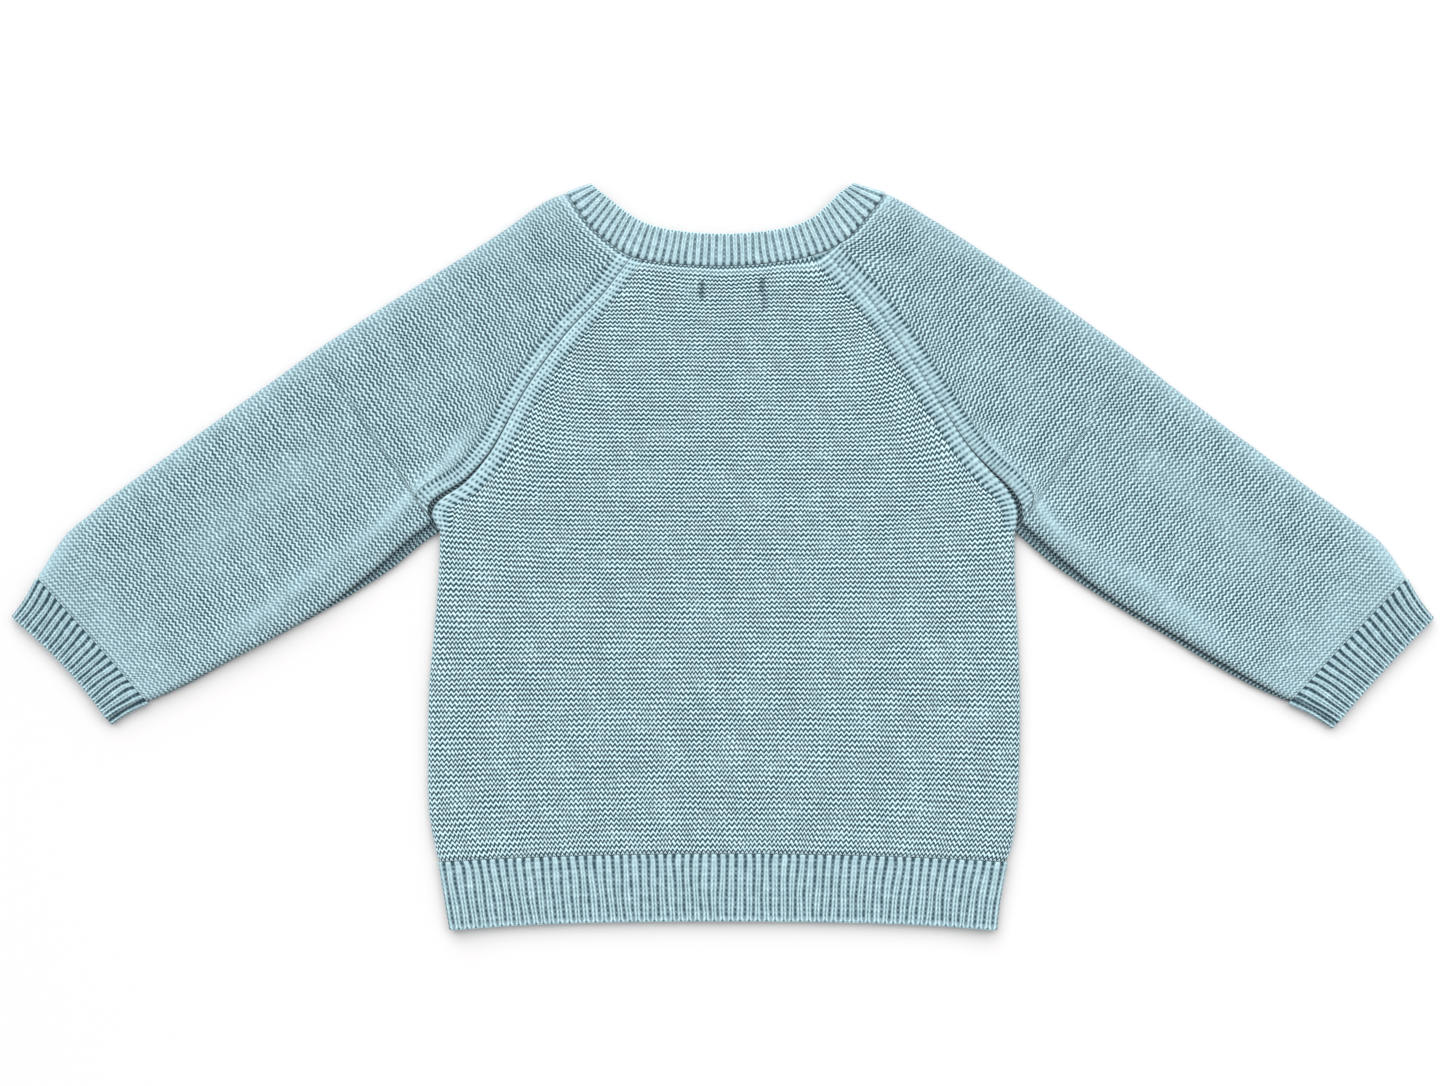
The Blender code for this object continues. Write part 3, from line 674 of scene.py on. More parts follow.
class Cuff:
    """A cuff: ribs u from its underarm over the back and round, rows v out to its free edge."""

    ribs, rows, around = CUFF_RIBS, CUFF_ROWS, 2 * CUFF_RIBS

    def __init__(self, side):
        self.side = side
        fold, seam = CUFF_ENDS[side]
        self.folds = np.array([SLEEVE_FOLDS[side][0], fold])
        self.seams = np.array([UNDERARMS[side][0], seam])
        self.axis = unit(self.seams[1] - self.seams[0])
        self.gap = SEAM / length(self.seams[1] - self.seams[0])

    def place(self, u, v, sink):
        share = mix(self.gap, 1.0, v / self.rows)[:, None]
        waist = CUFF_WAIST * np.sin(math.pi * share)
        fold, seam = mix(*self.folds, share), mix(*self.seams, share)
        across = unit(fold - seam)
        seam, fold = seam + across * waist, fold - across * waist
        width = length(fold - seam)
        cloth_length = width + 2 * spare(0.0)
        layer = np.where(u <= self.ribs, UPPER, LOWER)
        cloth = np.minimum(u, 2 * self.ribs - u) / self.ribs * cloth_length
        distance, turn, inward = between(0.0, cloth, cloth_length, width)
        bow = CUFF_BOW[self.side] * np.sin(math.pi * distance / width) * v / self.rows
        at = seam + across * distance[:, None] - self.axis * bow[:, None]
        drop = LEDGE_DROP * ease((CUFF_LEDGE[self.side] + 0.4 - distance) / 0.8)
        return cloth_point(at, across * inward[:, None], turn, sink, layer, 0.0, drop), u

    def ledge(self, u):
        """How near a point is to the line where the upper side ends above the under side."""
        # The rib's colour paints shade along this line
        width = float(length(self.folds[0] - self.seams[0]))
        cloth = np.minimum(u, 2 * self.ribs - u) / self.ribs * (width + 2 * spare(0.0))
        distance, _ = roll(0.0, cloth)
        near = np.exp(-(((distance - CUFF_LEDGE[self.side]) / 0.55) ** 2))
        return near * (u <= self.ribs)


class Hem:
    """Half of the hem: ribs u from its left side, rows v down to its free edge."""

    ribs, rows, around = HEM_RIBS, HEM_ROWS, HEM_RIBS

    def __init__(self, layer):
        self.layer = layer

    def place(self, u, v, sink):
        share = 1 - v / self.rows
        end = mix(HEM_BOTTOM.end, COURSES[0].end - SEAM, share)
        middle = mix(HEM_BOTTOM.middle, COURSES[0].middle - SEAM, share)
        sharp = mix(HEM_BOTTOM.sharp, COURSES[0].sharp, share)
        left, right = edge_x("left", end), edge_x("right", end)
        width = right - left
        cloth_length = width + 2 * spare(0.0)
        distance, turn, inward = between(0.0, u / self.ribs * cloth_length, cloth_length, width)
        out = np.abs(2 * distance / width - 1) ** sharp
        at = plan(left + distance, mix(middle, end, out))
        return cloth_point(at, plan(inward, 0.0), turn, sink, self.layer, SEAM / 2), u


class Neckband:
    """The neckband: ribs u from its left fold over the back and round, rows v to its free edge."""

    ribs, rows, around = NECK_RIBS, NECK_ROWS, 2 * NECK_RIBS

    def place(self, u, v, sink):
        layer = np.where(u <= self.ribs, UPPER, LOWER)
        point = np.zeros((len(u), 3))
        for which in (UPPER, LOWER):
            width = BAND_LENGTHS[which][-1]
            cloth_length = width + 2 * spare(0.0)
            cloth = np.minimum(u, 2 * self.ribs - u) / self.ribs * cloth_length
            distance, turn, inward = between(0.0, cloth, cloth_length, width)
            at = band_point(which, distance, mix(SEAM / NECK_HEIGHT, 1.0, v / self.rows))
            ways = np.where((inward > 0)[:, None], neck_inward("left"), neck_inward("right"))
            made = cloth_point(at, ways, turn, sink, which, 0.0)
            point = np.where((layer == which)[:, None], made, point)
        return point, u


def label_dents(at):
    """How far the label's sewing pulls the back in, and how far the label lifts it."""
    x, y = at[:, 0], at[:, 1]
    dent = np.zeros(len(at))
    for tack in TACKS:
        away = np.hypot(x - tack.x, y - np.clip(y, tack.foot, tack.top))
        dent = np.maximum(dent, tack.depth * np.exp(-((away / TACK_WIDTH) ** 2)))
    left, right = TACKS[0].x, TACKS[1].x
    within = ease((x - left) / 2) * ease((right - x) / 2) * ease((LABEL_TOP - y) / 2)
    line = within * np.exp(-(((y - LABEL_TOP) / 0.8) ** 2))
    return np.maximum(dent, 0.4 * line), within * ease((y - LABEL_FOOT) / 9)


def calmer(v, lean):
    """The back's and front's zigzag is a little flatter towards the neck."""
    return 1 - FLATTER * lean * v


def purl(piece, layer_of, depth, zigzag):
    """The look of reverse knit on a panel or sleeve: places, stitch coordinates and marks."""
    chance = np.random.default_rng(SEED)
    row_slips = chance.uniform(-1, 1, MOST_HALF_COURSES)
    is_panel = isinstance(piece, Panel)
    lean = 1.0 if is_panel else 0.0

    def shape(u, v, inside, last_row):
        from_edge, border_wales, grown = piece.border(u, v)
        layer, to_neck = layer_of(u), last_row - v
        folded, near_fold = from_fold(piece, u), ease(1 - from_fold(piece, u) / 6)

        # Where the stitches are
        inner = ease(np.minimum(from_edge / 3, 1)) * (1 - grown * (from_edge < border_wales + 1))
        free = ease(np.minimum(v, to_neck))
        crest, beat = np.cos(TURN * v), np.cos(TURN * u)
        slip = ROW_SLIP * row_slips[np.rint(2 * v).astype(int)] * inner * free
        slip += SLIP * wander(3.1 * u, 2.3 * v, 1.0) * inner * free
        in_border = grown * ease((border_wales + 0.25 - from_edge) / 0.5)
        wave = zigzag * calmer(v, lean) * beat * free * (1 - in_border)
        drift = DRIFT * wander(2.0 * u, 2.9 * v, 4.0) * free * inner

        # What is sewn and fashioned
        hole = grown * np.clip(1 - np.abs(from_edge - border_wales + 0.3) / 1.1, 0, 1)
        hole = hole * ease(to_neck / 4 - 0.25)
        line = np.where(piece.is_right(u), 0.3, 0.9) * grown * (from_edge <= 0)
        link = np.exp(-(((to_neck - 1.1) / 0.5) ** 2)) * (layer == UPPER)
        if is_panel:
            link = np.maximum(link, 0.8 * grown * np.exp(-(((from_edge - 0.7) / 0.4) ** 2)))

        # How high they stand
        rough = ROUGH * chance.uniform(-1, 1, len(u))
        calm = (1 - 0.5 * near_fold) * (1 - 0.7 * link) * (1 - 0.6 * in_border)
        out = depth * (0.5 * crest * calm + rough)
        out = out + BORDER_RAISE * in_border - HOLE_SINK * hole * (crest < 0)
        out = out + LINK_RAISE * link * (1 - 0.6 * in_border)
        out = np.where(from_edge <= 0, out - EDGE_SINK, out)
        out = np.where((v <= 0) | (v >= last_row), out - END_SINK, out)
        out = out - UNDER_SINK * ease((1 - layer) / 2 * np.minimum(1.0, folded / 3))
        at = v + wave
        point, stitch = piece.place(u + slip, at + drift, np.where(inside, WALL, -out))

        # What is painted darker as shade or paler as highlight
        # Painted shade on the last courses, under the neckband's edge
        seam = 0.5 * (layer == UPPER) * np.clip(1 - to_neck / 0.6, 0, 1)
        if is_panel and piece.layer == UPPER:
            dent, lift = label_dents(point)
            sink = out - 0.7 * dent + LABEL_LIFT * lift
            point, stitch = piece.place(u + slip, at + drift, np.where(inside, WALL, -sink))
            # Painted shade in the label's dents
            seam = np.maximum(seam, np.minimum(dent, 1.0))
        # Painted highlight along the sleeves' creases
        worn = 1.3 * creases(point[:, 0], point[:, 1])
        # Painted shade in the hollows beside the armpits
        seam = np.maximum(seam, 0.7 * creases(point[:, 0], point[:, 1], PITS) / -1.2)
        if not is_panel:
            # Painted highlight on a sleeve's knit near its cuff
            worn = np.maximum(worn, 0.6 * ease(1 - v / 18))
            # Painted shade on a sleeve's under side, where it shows below the upper side
            under = (layer == LOWER) * ease((6 - from_edge) / 3)
            seam = np.maximum(seam, 0.55 * under * ease((piece.arm_courses + 3 - v) / 3))
        marks = {
            "border": in_border,
            "dotted": in_border * (1 - piece.is_right(u)),
            "hole": hole,
            "line": line * ease((point[:, 1] - 20) / 12),
            "link": link,
            "seam": seam,
            "fold": near_fold,
            "worn": worn,
        }
        return point, stitch - slip, at, marks

    return shape


def from_fold(piece, u):
    """Wales from a folded edge."""
    if isinstance(piece, Sleeve):
        return np.abs(u - SLEEVE_WALES)
    return np.full_like(u, 9.0)


def ribbed(piece, layer_of):
    """The look of one-by-one rib, for a hem, a cuff or the neckband."""

    def shape(u, v, inside, last_row):
        from_side = np.minimum(np.abs(u - piece.ribs), np.minimum(u, piece.around - u))
        free = ease(from_side / 2) * ease(v / 1.5)
        slip = free * (0.11 * wander(5.0 * u, 0.9 * v, 2.0) + 0.07 * wander(9.0 * u, 2.3 * v, 5.0))
        groove = (np.cos(math.pi * u) ** 2) ** 3.0
        open_ended = ease((last_row - 0.1 - v) / 0.7)
        stitch_lift = RIB_STITCH * np.cos(TURN * (v + 0.5)) * ease((last_row - v) / 0.6)
        strand = np.abs(np.abs(u % 1 - 0.5) - 0.2)
        out = RIB_RAISE * (1 - groove * open_ended) - RIB_SPLIT * ease(1 - strand / 0.2)
        out = out + stitch_lift * (1 - groove)
        out = out - RIB_END_SINK * (ease(1 - v / 0.4) + ease(1 - (last_row - v) / 0.25))
        closed = 1.0 if piece.around == piece.ribs else ease(from_side / 1.5)
        out = np.where(layer_of(u) == UPPER, out, out - RIB_RAISE * closed)
        scallop = 0.16 * (0.4 - groove) * ease(1 - v / 1.0)
        point, _ = piece.place(u + slip, v - scallop, np.where(inside, WALL, -out))
        # Where a cuff's upper side ends above its under side, painted as shade in its colour
        ledge = piece.ledge(u) if isinstance(piece, Cuff) else np.zeros(len(u))
        edge = ease(1 - (last_row - v) / 0.9)
        return point, u, v, {"open": open_ended, "edge": edge, "crease": ledge}

    return shape


def knit_wall(name, us, vs, shape, ring=False, coarse=4):
    """A closed wall of knit over stitch coordinates us by vs. Its inside is plain and coarse."""
    columns, rows = len(us) - 1, len(vs) - 1
    bm = bmesh.new()
    bmesh.ops.create_grid(bm, x_segments=columns, y_segments=rows, size=0.5)
    bmesh.ops.solidify(bm, geom=bm.faces[:], thickness=1.0)
    mesh = bpy.data.meshes.new(name)
    bm.to_mesh(mesh)
    bm.free()
    co = np.empty(3 * len(mesh.vertices))
    mesh.vertices.foreach_get("co", co)
    co = co.reshape(-1, 3)
    column = np.rint((co[:, 0] + 0.5) * columns).astype(int)
    row = np.rint((co[:, 1] + 0.5) * rows).astype(int)
    inside = co[:, 2] < -0.5
    column = np.where(inside & (column < columns), column // coarse * coarse, column)
    row = np.where(inside & (row < rows), row // coarse * coarse, row)
    point, u, v, marks = shape(us[column], vs[row], inside, vs[-1])
    mesh.vertices.foreach_set("co", (point * MM).ravel())
    stitches = mesh.uv_layers.new(name="stitches")
    corners = np.empty(len(mesh.loops), dtype=np.int32)
    mesh.loops.foreach_get("vertex_index", corners)
    stitches.uv.foreach_set("vector", np.column_stack([u, v])[corners].ravel())
    for mark, values in marks.items():
        # The inside keeps only the seam mark, which paints shade
        values = np.where(inside & (mark != "seam"), 0.0, values)
        mesh.attributes.new(mark, "FLOAT", "POINT").data.foreach_set("value", values)
    bm = bmesh.new()
    bm.from_mesh(mesh)
    if ring:
        places = {i: at for i, at in enumerate(zip(column, row)) if at[0] in (0, columns)}
        ends = [face for face in bm.faces if is_ring_end(face, places)]
        bmesh.ops.delete(bm, geom=ends, context="FACES_ONLY")
    bmesh.ops.remove_doubles(bm, verts=bm.verts[:], dist=MERGE)
    bmesh.ops.dissolve_degenerate(bm, edges=bm.edges[:], dist=SLIVER)
    bmesh.ops.recalc_face_normals(bm, faces=bm.faces[:])
    bm.to_mesh(mesh)
    bm.free()
    mesh.shade_smooth()
    obj = bpy.data.objects.new(name, mesh)
    bpy.context.scene.collection.objects.link(obj)
    return obj


def is_ring_end(face, places):
    found = [places.get(vert.index) for vert in face.verts]
    return None not in found and len({column for column, _ in found}) == 1


class Field:
    """A value in a material's nodes, used with Python's arithmetic."""

    def __init__(self, tree, socket=None):
        self.tree, self.socket = tree, socket

    def node(self, kind, settings=(), inputs=(), output=0):
        node = self.tree.nodes.new(kind)
        for key, value in dict(settings).items():
            setattr(node, key, value)
        for key, value in dict(inputs).items():
            if isinstance(value, Field):
                self.tree.links.new(value.socket, node.inputs[key])
            else:
                node.inputs[key].default_value = value
        return Field(self.tree, node.outputs[output])

    def math(self, operation, *values, clamp=False):
        settings = {"operation": operation, "use_clamp": clamp}
        return self.node("ShaderNodeMath", settings, dict(enumerate(values)))

    def __add__(self, other):
        return self.math("ADD", self, other)

    __radd__ = __add__

    def __sub__(self, other):
        return self.math("SUBTRACT", self, other)

    def __rsub__(self, other):
        return self.math("SUBTRACT", other, self)

    def __mul__(self, other):
        return self.math("MULTIPLY", self, other)

    __rmul__ = __mul__

    def __pow__(self, power):
        return self.math("POWER", self, power)

    def wave(self):
        """1 at whole numbers and 0 half-way between them."""
        return 0.5 + 0.5 * self.math("COSINE", self * TURN)

    def clamp(self):
        return self.math("ADD", self, 0.0, clamp=True)

    def size(self):
        return self.math("ABSOLUTE", self)

    def at_most(self, limit):
        return self.math("MINIMUM", self, limit)

    def mark(self, name):
        return self.node("ShaderNodeAttribute", {"attribute_name": name}, output=2)

    def noise(self, at, scale, detail=2.0, roughness=0.5):
        inputs = {"Vector": at, "Scale": scale, "Detail": detail, "Roughness": roughness}
        return self.node("ShaderNodeTexNoise", inputs=inputs)

    def tint(self, factor, a, b):
        """A colour between two others."""
        inputs = {"Factor": factor, 6: a, 7: b}
        return self.node("ShaderNodeMix", {"data_type": "RGBA"}, inputs, output=2)


def rgba(colour):
    return (*colour, 1.0)


def yarn(name, settings, pattern, *knit):
    """A matt cotton yarn. The pattern gives how deep in the knit a point is, painted as shade, and
    its height.
    """
    material = bpy.data.materials.new(name)
    material.use_nodes = True
    tree = material.node_tree
    shader = tree.nodes["Principled BSDF"]
    fields = Field(tree)
    stitches = fields.node("ShaderNodeUVMap", {"uv_map": "stitches"})
    u, v = (fields.node("ShaderNodeSeparateXYZ", {}, {0: stitches}, axis) for axis in (0, 1))
    at = fields.node("ShaderNodeTexCoord", output=3)
    deep, height = pattern(fields, u, v, stitches, *knit)
    fuzz = fields.noise(at, 1900.0, 2.0, 0.6)
    marl = fields.noise(stitches, 0.9, 1.0, 0.5)
    cloud = fields.noise(at, 26.0, 2.0, 0.5)
    pale = fields.tint(cloud, rgba(settings.yarn_shade), rgba(settings.yarn_pale))
    # Painted highlight on the stitches' tops, where the knit is least deep, with the washed yarn's
    # pale speckles
    crest = (0.2 - deep).clamp() * 2.4
    washed_and_highlit = ((marl * 3.2 - 1.25).clamp() * 0.55 + crest).clamp()
    worn = fields.tint(washed_and_highlit, pale, rgba(settings.yarn_worn))
    # Painted shade, darker the deeper a point lies in the knit
    colour = fields.tint((deep + fuzz * 0.24 - 0.12).clamp(), worn, rgba(settings.yarn_deep))
    tree.links.new(colour.socket, shader.inputs["Base Color"])
    shader.inputs["Roughness"].default_value = 0.9
    shader.inputs["Specular IOR Level"].default_value = 0.25
    shader.inputs["Sheen Weight"].default_value = 0.12
    shader.inputs["Sheen Roughness"].default_value = 0.5
    bump = tree.nodes.new("ShaderNodeBump")
    bump.inputs["Strength"].default_value = 1.0
    bump.inputs["Distance"].default_value = settings.stitch_depth * MM
    tree.links.new((height + fuzz * 0.16).socket, bump.inputs["Height"])
    tree.links.new(bump.outputs["Normal"], shader.inputs["Normal"])
    return material


def purl_pattern(fields, u, v, stitches, zigzag, contrast, lean):
    """Waved courses with pockets between them, plainer in the fashioned borders."""
    names = "border", "dotted", "hole", "line", "link", "seam", "fold", "worn"
    border, dotted, hole, line, link, seam, fold, worn = map(fields.mark, names)
    beat = 2 * u.wave() - 1
    uneven = fields.noise(stitches, 0.9, 1.0) - 0.5
    phase = v - beat * zigzag * calmer(v, lean) * (1 - border) - uneven * 0.24 * (1 - 0.5 * border)
    ridge = phase.wave()
    # Painted shade in the grooves between the courses, darker in the pockets between the wales
    groove = (1 - ridge) ** 1.3
    pocket = (u + 0.5 - 0.25 * lean).wave()
    rows = fields.node("ShaderNodeMapping", {}, {"Vector": stitches, "Scale": (0.06, 1.0, 1.0)})
    tension = fields.noise(stitches, 0.7, 1.0) * 1.2 + fields.noise(rows, 0.9, 1.0) * 0.6
    tension = tension + fields.noise(stitches, 0.14, 1.0) - 1.4
    between = 0.88 - 0.18 * lean + (0.24 + 0.36 * lean) * pocket + tension * 0.6
    open_knit = 0.08 + groove * between
    open_knit = (0.46 - 0.04 * contrast + (open_knit - 0.48) * contrast).clamp()
    # Less painted shade at the folds and the linking rows, and a painted highlight along the
    # creases and near the cuffs
    calm = (0.55 * fold + 0.6 * link + 0.7 * worn).clamp()
    open_knit = open_knit + (0.3 - 0.08 * worn - open_knit) * calm - 0.12 * link
    # Painted shade in the fashioned border's pockets, darkest at its holes and along the left
    # border
    dots = (0.32 + 0.4 * hole + 0.45 * dotted) * pocket
    fashioned = 0.25 + groove * (0.32 - 0.3 * dotted + dots + tension * 0.6) - 0.14 * link
    deep = open_knit + (fashioned - open_knit) * border
    # Painted shade in the border's holes and where the seam mark lies; the raglan line is a dark
    # joint
    deep = deep + hole * (1 - ridge) ** 2.5 * 0.5 + seam * (0.85 - 0.3 * ridge) + line ** 4.0
    plainer = (1 - 0.6 * calm) * (1 - 0.6 * border - 0.2 * dotted)
    return deep, ridge ** 0.8 * plainer - hole * (1 - ridge) * 0.4


def rib_pattern(fields, u, v, stitches, contrast, shade):
    """Columns of stitches with grooves between them in painted shade, and cast-off dots at the free
    edge.
    """
    open_ended, edge, crease = map(fields.mark, ("open", "edge", "crease"))
    uneven = fields.noise(stitches, 0.7, 1.0) - 0.5
    across = u.math("FRACT", u + uneven * 0.08)
    middle = (across - 0.5).size()
    groove = across.wave() ** (1.8 + (0.4 * v).at_most(2.6)) * open_ended
    sewn = (1 - v * 0.9).clamp()
    vee = (v - middle * 1.8).wave()
    split = (1 - middle * 7.0).clamp() * (0.07 * v).at_most(0.6)
    strand = (1 - (middle - 0.24).size() * 5.5).clamp()
    on_top = 0.34 - 0.16 * strand + 0.6 * split + 0.14 * (1 - vee) + 0.2 * uneven
    # Painted shade in the grooves, deepest at the sewn edge
    deep = groove * (1.0 + 0.2 * sewn - 0.3 * v.wave() + uneven * 0.6) + (1 - groove) * on_top
    deep = shade + (deep - 0.44) * contrast
    dots = (1 - (edge - 0.75).size() * 4.0).clamp() * (2.0 * u).wave() ** 2.0
    # Painted shade along a cuff's crease, where its upper side ends above its under side
    deep = deep * (1 - 0.4 * edge) + dots * 0.8 + crease * 0.6
    height = (1 - groove) * (0.6 + 0.2 * strand + 0.15 * vee - 0.3 * split) - 0.5 * crease
    return deep, height


COLOUR = {"subtype": "COLOR", "size": 3, "min": 0.0, "max": 1.0}


class SweaterSettings(bpy.types.PropertyGroup):
    yarn_pale: FloatVectorProperty(
        name="Yarn", description="The yarn on top of the stitches",
        default=(0.46, 0.655, 0.72), **COLOUR,
    )
    yarn_shade: FloatVectorProperty(
        name="Yarn, dyed deeper", description="The deepest of the yarn's slow changes",
        default=(0.43, 0.62, 0.68), **COLOUR,
    )
    # The washed yarn's palest speckles, and the colour of the painted highlight on the stitches'
    # tops
    yarn_worn: FloatVectorProperty(
        name="Yarn, washed", description="The palest speckles of the washed yarn",
        default=(0.64, 0.87, 0.93), **COLOUR,
    )
    # Painted shade: the colour of the knit down between the stitches, where light hardly reaches
    yarn_deep: FloatVectorProperty(
        name="Between stitches", description="The yarn down between the stitches",
        default=(0.02, 0.062, 0.085), **COLOUR,
    )
    stitch_depth: FloatProperty(
        name="Stitch depth", description="How deep the knit is, in millimetres",
        default=0.75, min=0.1, max=1.2,
    )
    zigzag: FloatProperty(
        name="Wave", description="How far a course waves, in courses",
        default=0.27, min=0.0, max=0.4,
    )
    sleeve_zigzag: FloatProperty(
        name="Wave of the sleeves", description="How far a sleeve's course waves, in courses",
        default=0.16, min=0.0, max=0.3,
    )
    # The contrasts set how dark the painted shade between the courses is
    contrast: FloatProperty(
        name="Contrast", description="How much darker it is between the courses of the body",
        default=2.6, min=0.0, max=4.0,
    )
    sleeve_contrast: FloatProperty(
        name="Contrast of the sleeves", description="How much darker it is between their courses",
        default=0.88, min=0.0, max=4.0,
    )


class StageSettings(bpy.types.PropertyGroup):
    floor_colour: FloatVectorProperty(
        name="Floor", description="The table that the garment lies on",
        default=(0.672, 0.66, 0.66), **COLOUR,
    )
    key: FloatProperty(
        name="Key", description="Strength of the far soft light from the neck's side",
        default=3.15, min=0.0, max=50.0,
    )
    side: FloatProperty(
        name="Side", description="Power of the soft light at the right",
        default=20.0, min=0.0, max=1000.0, subtype="POWER",
    )
    fill: FloatProperty(
        name="Fill", description="Strength of the light from all round",
        default=0.57, min=0.0, max=20.0,
    )
    lens: FloatProperty(
        name="Lens", description="Focal length of the camera",
        default=85.0, min=20.0, max=300.0, subtype="DISTANCE_CAMERA",
    )
    view_width: FloatProperty(
        name="View width", description="Width of the picture at the garment",
        default=0.6516, min=0.1, max=5.0, subtype="DISTANCE",
    )


def lay(piece, node):
    """Puts a finished piece in its solid's place, as a sheet that is laid."""
    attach(piece, "root")
    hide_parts(node)


def upper(u):
    return np.full_like(u, UPPER)


def lower(u):
    return np.full_like(u, LOWER)


def over(fold):
    return lambda u: np.where(u <= fold, UPPER, LOWER)


def steps(last, step=0.5):
    """Stitch coordinates from 0 to the last, even and then the rest."""
    even = np.arange(0.0, last - 0.2 * step, step)
    return np.append(even, last)


def rib_steps(around):
    return np.arange(around * RIB_STEPS + 1) / RIB_STEPS


def rib_rows(rows):
    """Rows of a rib, closer at its sewn and its free edge."""
    free_edge = [rows - 0.22, rows - 0.08, rows]
    return np.concatenate([[0.0, 0.25], np.arange(0.5, rows - 0.4, 0.5), free_edge])


class KNIT_OT_panels(bpy.types.Operator):
    """Knits the back panel, which shows, and the front panel, which lies underneath"""

    bl_idname = "knit_sweater.panels"
    bl_label = "Panels"

    def execute(self, context):
        settings = context.scene.knit_sweater
        side = np.arange(0, FRONT_FINE, 0.5)
        middle = np.arange(FRONT_FINE, BODY_WALES - FRONT_FINE + 1)
        sparse = np.concatenate([side, middle, BODY_WALES - side[::-1][1:]])
        panels = (
            ("back", UPPER, upper, steps(BODY_WALES), (0.267, 0.275), 0.0625),
            ("front", LOWER, lower, sparse, (0.267, 0.262), 0.059),
        )
        for name, layer, layer_of, us, flat, area in panels:
            panel = Panel(layer)
            shape = purl(panel, layer_of, settings.stitch_depth, settings.zigzag)
            piece = knit_wall("knit_" + name, us, steps(panel.courses), shape)
            look = purl_pattern, settings.zigzag, settings.contrast, 1.0
            piece.data.materials.append(yarn(name + "_purl", settings, *look))
            lay(piece, name + "_panel")
        return {"FINISHED"}


class KNIT_OT_sleeves(bpy.types.Operator):
    """Knits both sleeves, each one piece folded over the shoulder"""

    bl_idname = "knit_sweater.sleeves"
    bl_label = "Sleeves"

    def execute(self, context):
        settings = context.scene.knit_sweater
        start, end = SLEEVE_SPARSE
        past_fold, sparse = np.arange(0, start, 0.5), np.arange(start, end)
        us = np.concatenate([past_fold, sparse, np.arange(end, 2 * SLEEVE_WALES + 0.2, 0.5)])
        for side in ("left", "right"):
            sleeve = Sleeve(side)
            shape = purl(sleeve, over(SLEEVE_WALES), settings.stitch_depth, settings.sleeve_zigzag)
            piece = knit_wall("knit_sleeve_" + side, us, steps(sleeve.courses), shape)
            look = purl_pattern, settings.sleeve_zigzag, settings.sleeve_contrast, 0.0
            piece.data.materials.append(yarn("sleeve_purl_" + side, settings, *look))
            lay(piece, "sleeve_" + side)
        return {"FINISHED"}


class KNIT_OT_ribs(bpy.types.Operator):
    """Knits the ribbed cuffs, hem and neckband"""

    bl_idname = "knit_sweater.ribs"
    bl_label = "Ribs"

    def execute(self, context):
        settings = context.scene.knit_sweater
        pieces = (
            ("cuff_left", Cuff("left"), CUFF_LOOK, (0.142, 0.024)),
            ("cuff_right", Cuff("right"), CUFF_LOOK, (0.142, 0.024)),
            ("hem_back", Hem(UPPER), HEM_LOOK, (0.262, 0.031)),
            ("hem_front", Hem(LOWER), HEM_LOOK, (0.262, 0.031)),
            ("neckband", Neckband(), NECK_LOOK, (0.37, 0.0155)),
        )
        for node, rib, look, flat in pieces:
            name, ring = "rib_" + node, rib.around > rib.ribs
            layer_of = over(rib.ribs) if ring else upper if rib.layer == UPPER else lower
            shape = ribbed(rib, layer_of)
            piece = knit_wall(name, rib_steps(rib.around), rib_rows(rib.rows), shape, ring)
            piece.data.materials.append(yarn(name + "_yarn", settings, rib_pattern, *look))
            lay(piece, node)
        return {"FINISHED"}


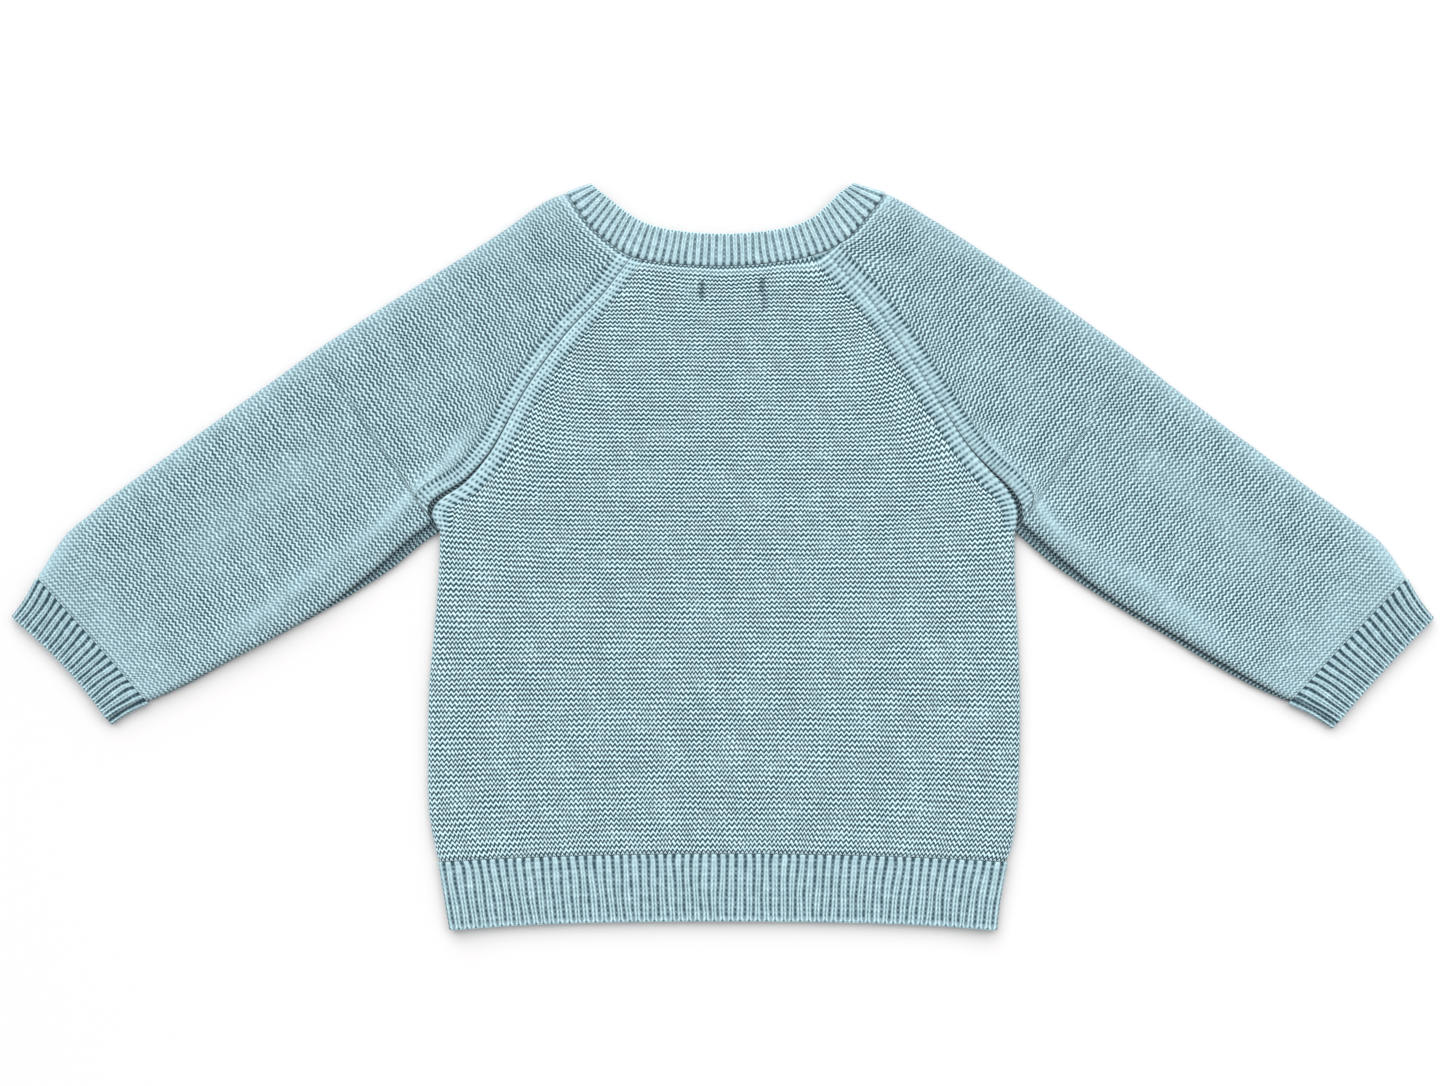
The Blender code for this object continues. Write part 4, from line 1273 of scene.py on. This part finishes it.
class KNIT_OT_stage(bpy.types.Operator):
    """Sets the floor, the soft lights and the camera"""

    bl_idname = "knit_sweater.stage"
    bl_label = "Stage"

    def execute(self, context):
        settings = context.scene.knit_stage
        self.floor(settings)
        self.lights(context, settings)
        self.camera(context, settings)
        return {"FINISHED"}

    def floor(self, settings):
        bm = bmesh.new()
        bmesh.ops.create_grid(bm, x_segments=4, y_segments=4, size=FLOOR_REACH)
        mesh = bpy.data.meshes.new("floor")
        bm.to_mesh(mesh)
        bm.free()
        floor = bpy.data.objects.new("floor", mesh)
        bpy.context.scene.collection.objects.link(floor)
        material = bpy.data.materials.new("floor_white")
        material.use_nodes = True
        shader = material.node_tree.nodes["Principled BSDF"]
        shader.inputs["Base Color"].default_value = rgba(settings.floor_colour)
        shader.inputs["Roughness"].default_value = 0.9
        mesh.materials.append(material)

    def lights(self, context, settings):
        world = bpy.data.worlds.new("studio")
        world.use_nodes = True
        background = world.node_tree.nodes["Background"]
        background.inputs["Color"].default_value = (1.0, 1.0, 1.0, 1.0)
        background.inputs["Strength"].default_value = settings.fill
        context.scene.world = world
        context.scene.view_settings.view_transform = "Standard"
        key = bpy.data.lights.new("soft_key", "SUN")
        key.energy, key.angle = settings.key, KEY_ANGLE
        side = bpy.data.lights.new("soft_side", "AREA")
        side.energy, side.size = settings.side, SIDE_SIZE
        for light, place in ((key, KEY_PLACE), (side, SIDE_PLACE)):
            lamp = bpy.data.objects.new(light.name, light)
            lamp.location = place
            lamp.rotation_euler = (-Vector(place)).to_track_quat("-Z", "Y").to_euler()
            context.scene.collection.objects.link(lamp)

    def camera(self, context, settings):
        camera = bpy.data.cameras.new("camera")
        camera.lens = settings.lens
        eye = bpy.data.objects.new("camera", camera)
        distance = settings.lens / camera.sensor_width * settings.view_width
        eye.location = (AIM_X, AIM_Y, distance + AIM_Z)
        context.scene.collection.objects.link(eye)
        context.scene.camera = eye


class KNIT_PT_panel(bpy.types.Panel):
    bl_idname = "KNIT_PT_panel"
    bl_label = "Knit Sweater"
    bl_space_type = "VIEW_3D"
    bl_region_type = "UI"
    bl_category = "Knit Sweater"

    def draw(self, context):
        for group in (context.scene.knit_sweater, context.scene.knit_stage):
            for name in group.bl_rna.properties.keys():
                if name not in ("rna_type", "name"):
                    self.layout.prop(group, name)
        for operator in OPERATORS:
            self.layout.operator(operator.bl_idname)


OPERATORS = (KNIT_OT_panels, KNIT_OT_sleeves, KNIT_OT_ribs, KNIT_OT_stage)
CLASSES = (SweaterSettings, StageSettings, *OPERATORS, KNIT_PT_panel)


def register():
    for cls in CLASSES:
        bpy.utils.register_class(cls)
    bpy.types.Scene.knit_sweater = PointerProperty(type=SweaterSettings)
    bpy.types.Scene.knit_stage = PointerProperty(type=StageSettings)


def unregister():
    del bpy.types.Scene.knit_stage
    del bpy.types.Scene.knit_sweater
    for cls in reversed(CLASSES):
        bpy.utils.unregister_class(cls)


def main():
    register()
    for step in ("panels", "sleeves", "ribs", "stage"):
        getattr(bpy.ops.knit_sweater, step)()


if __name__ == "__main__":
    main()
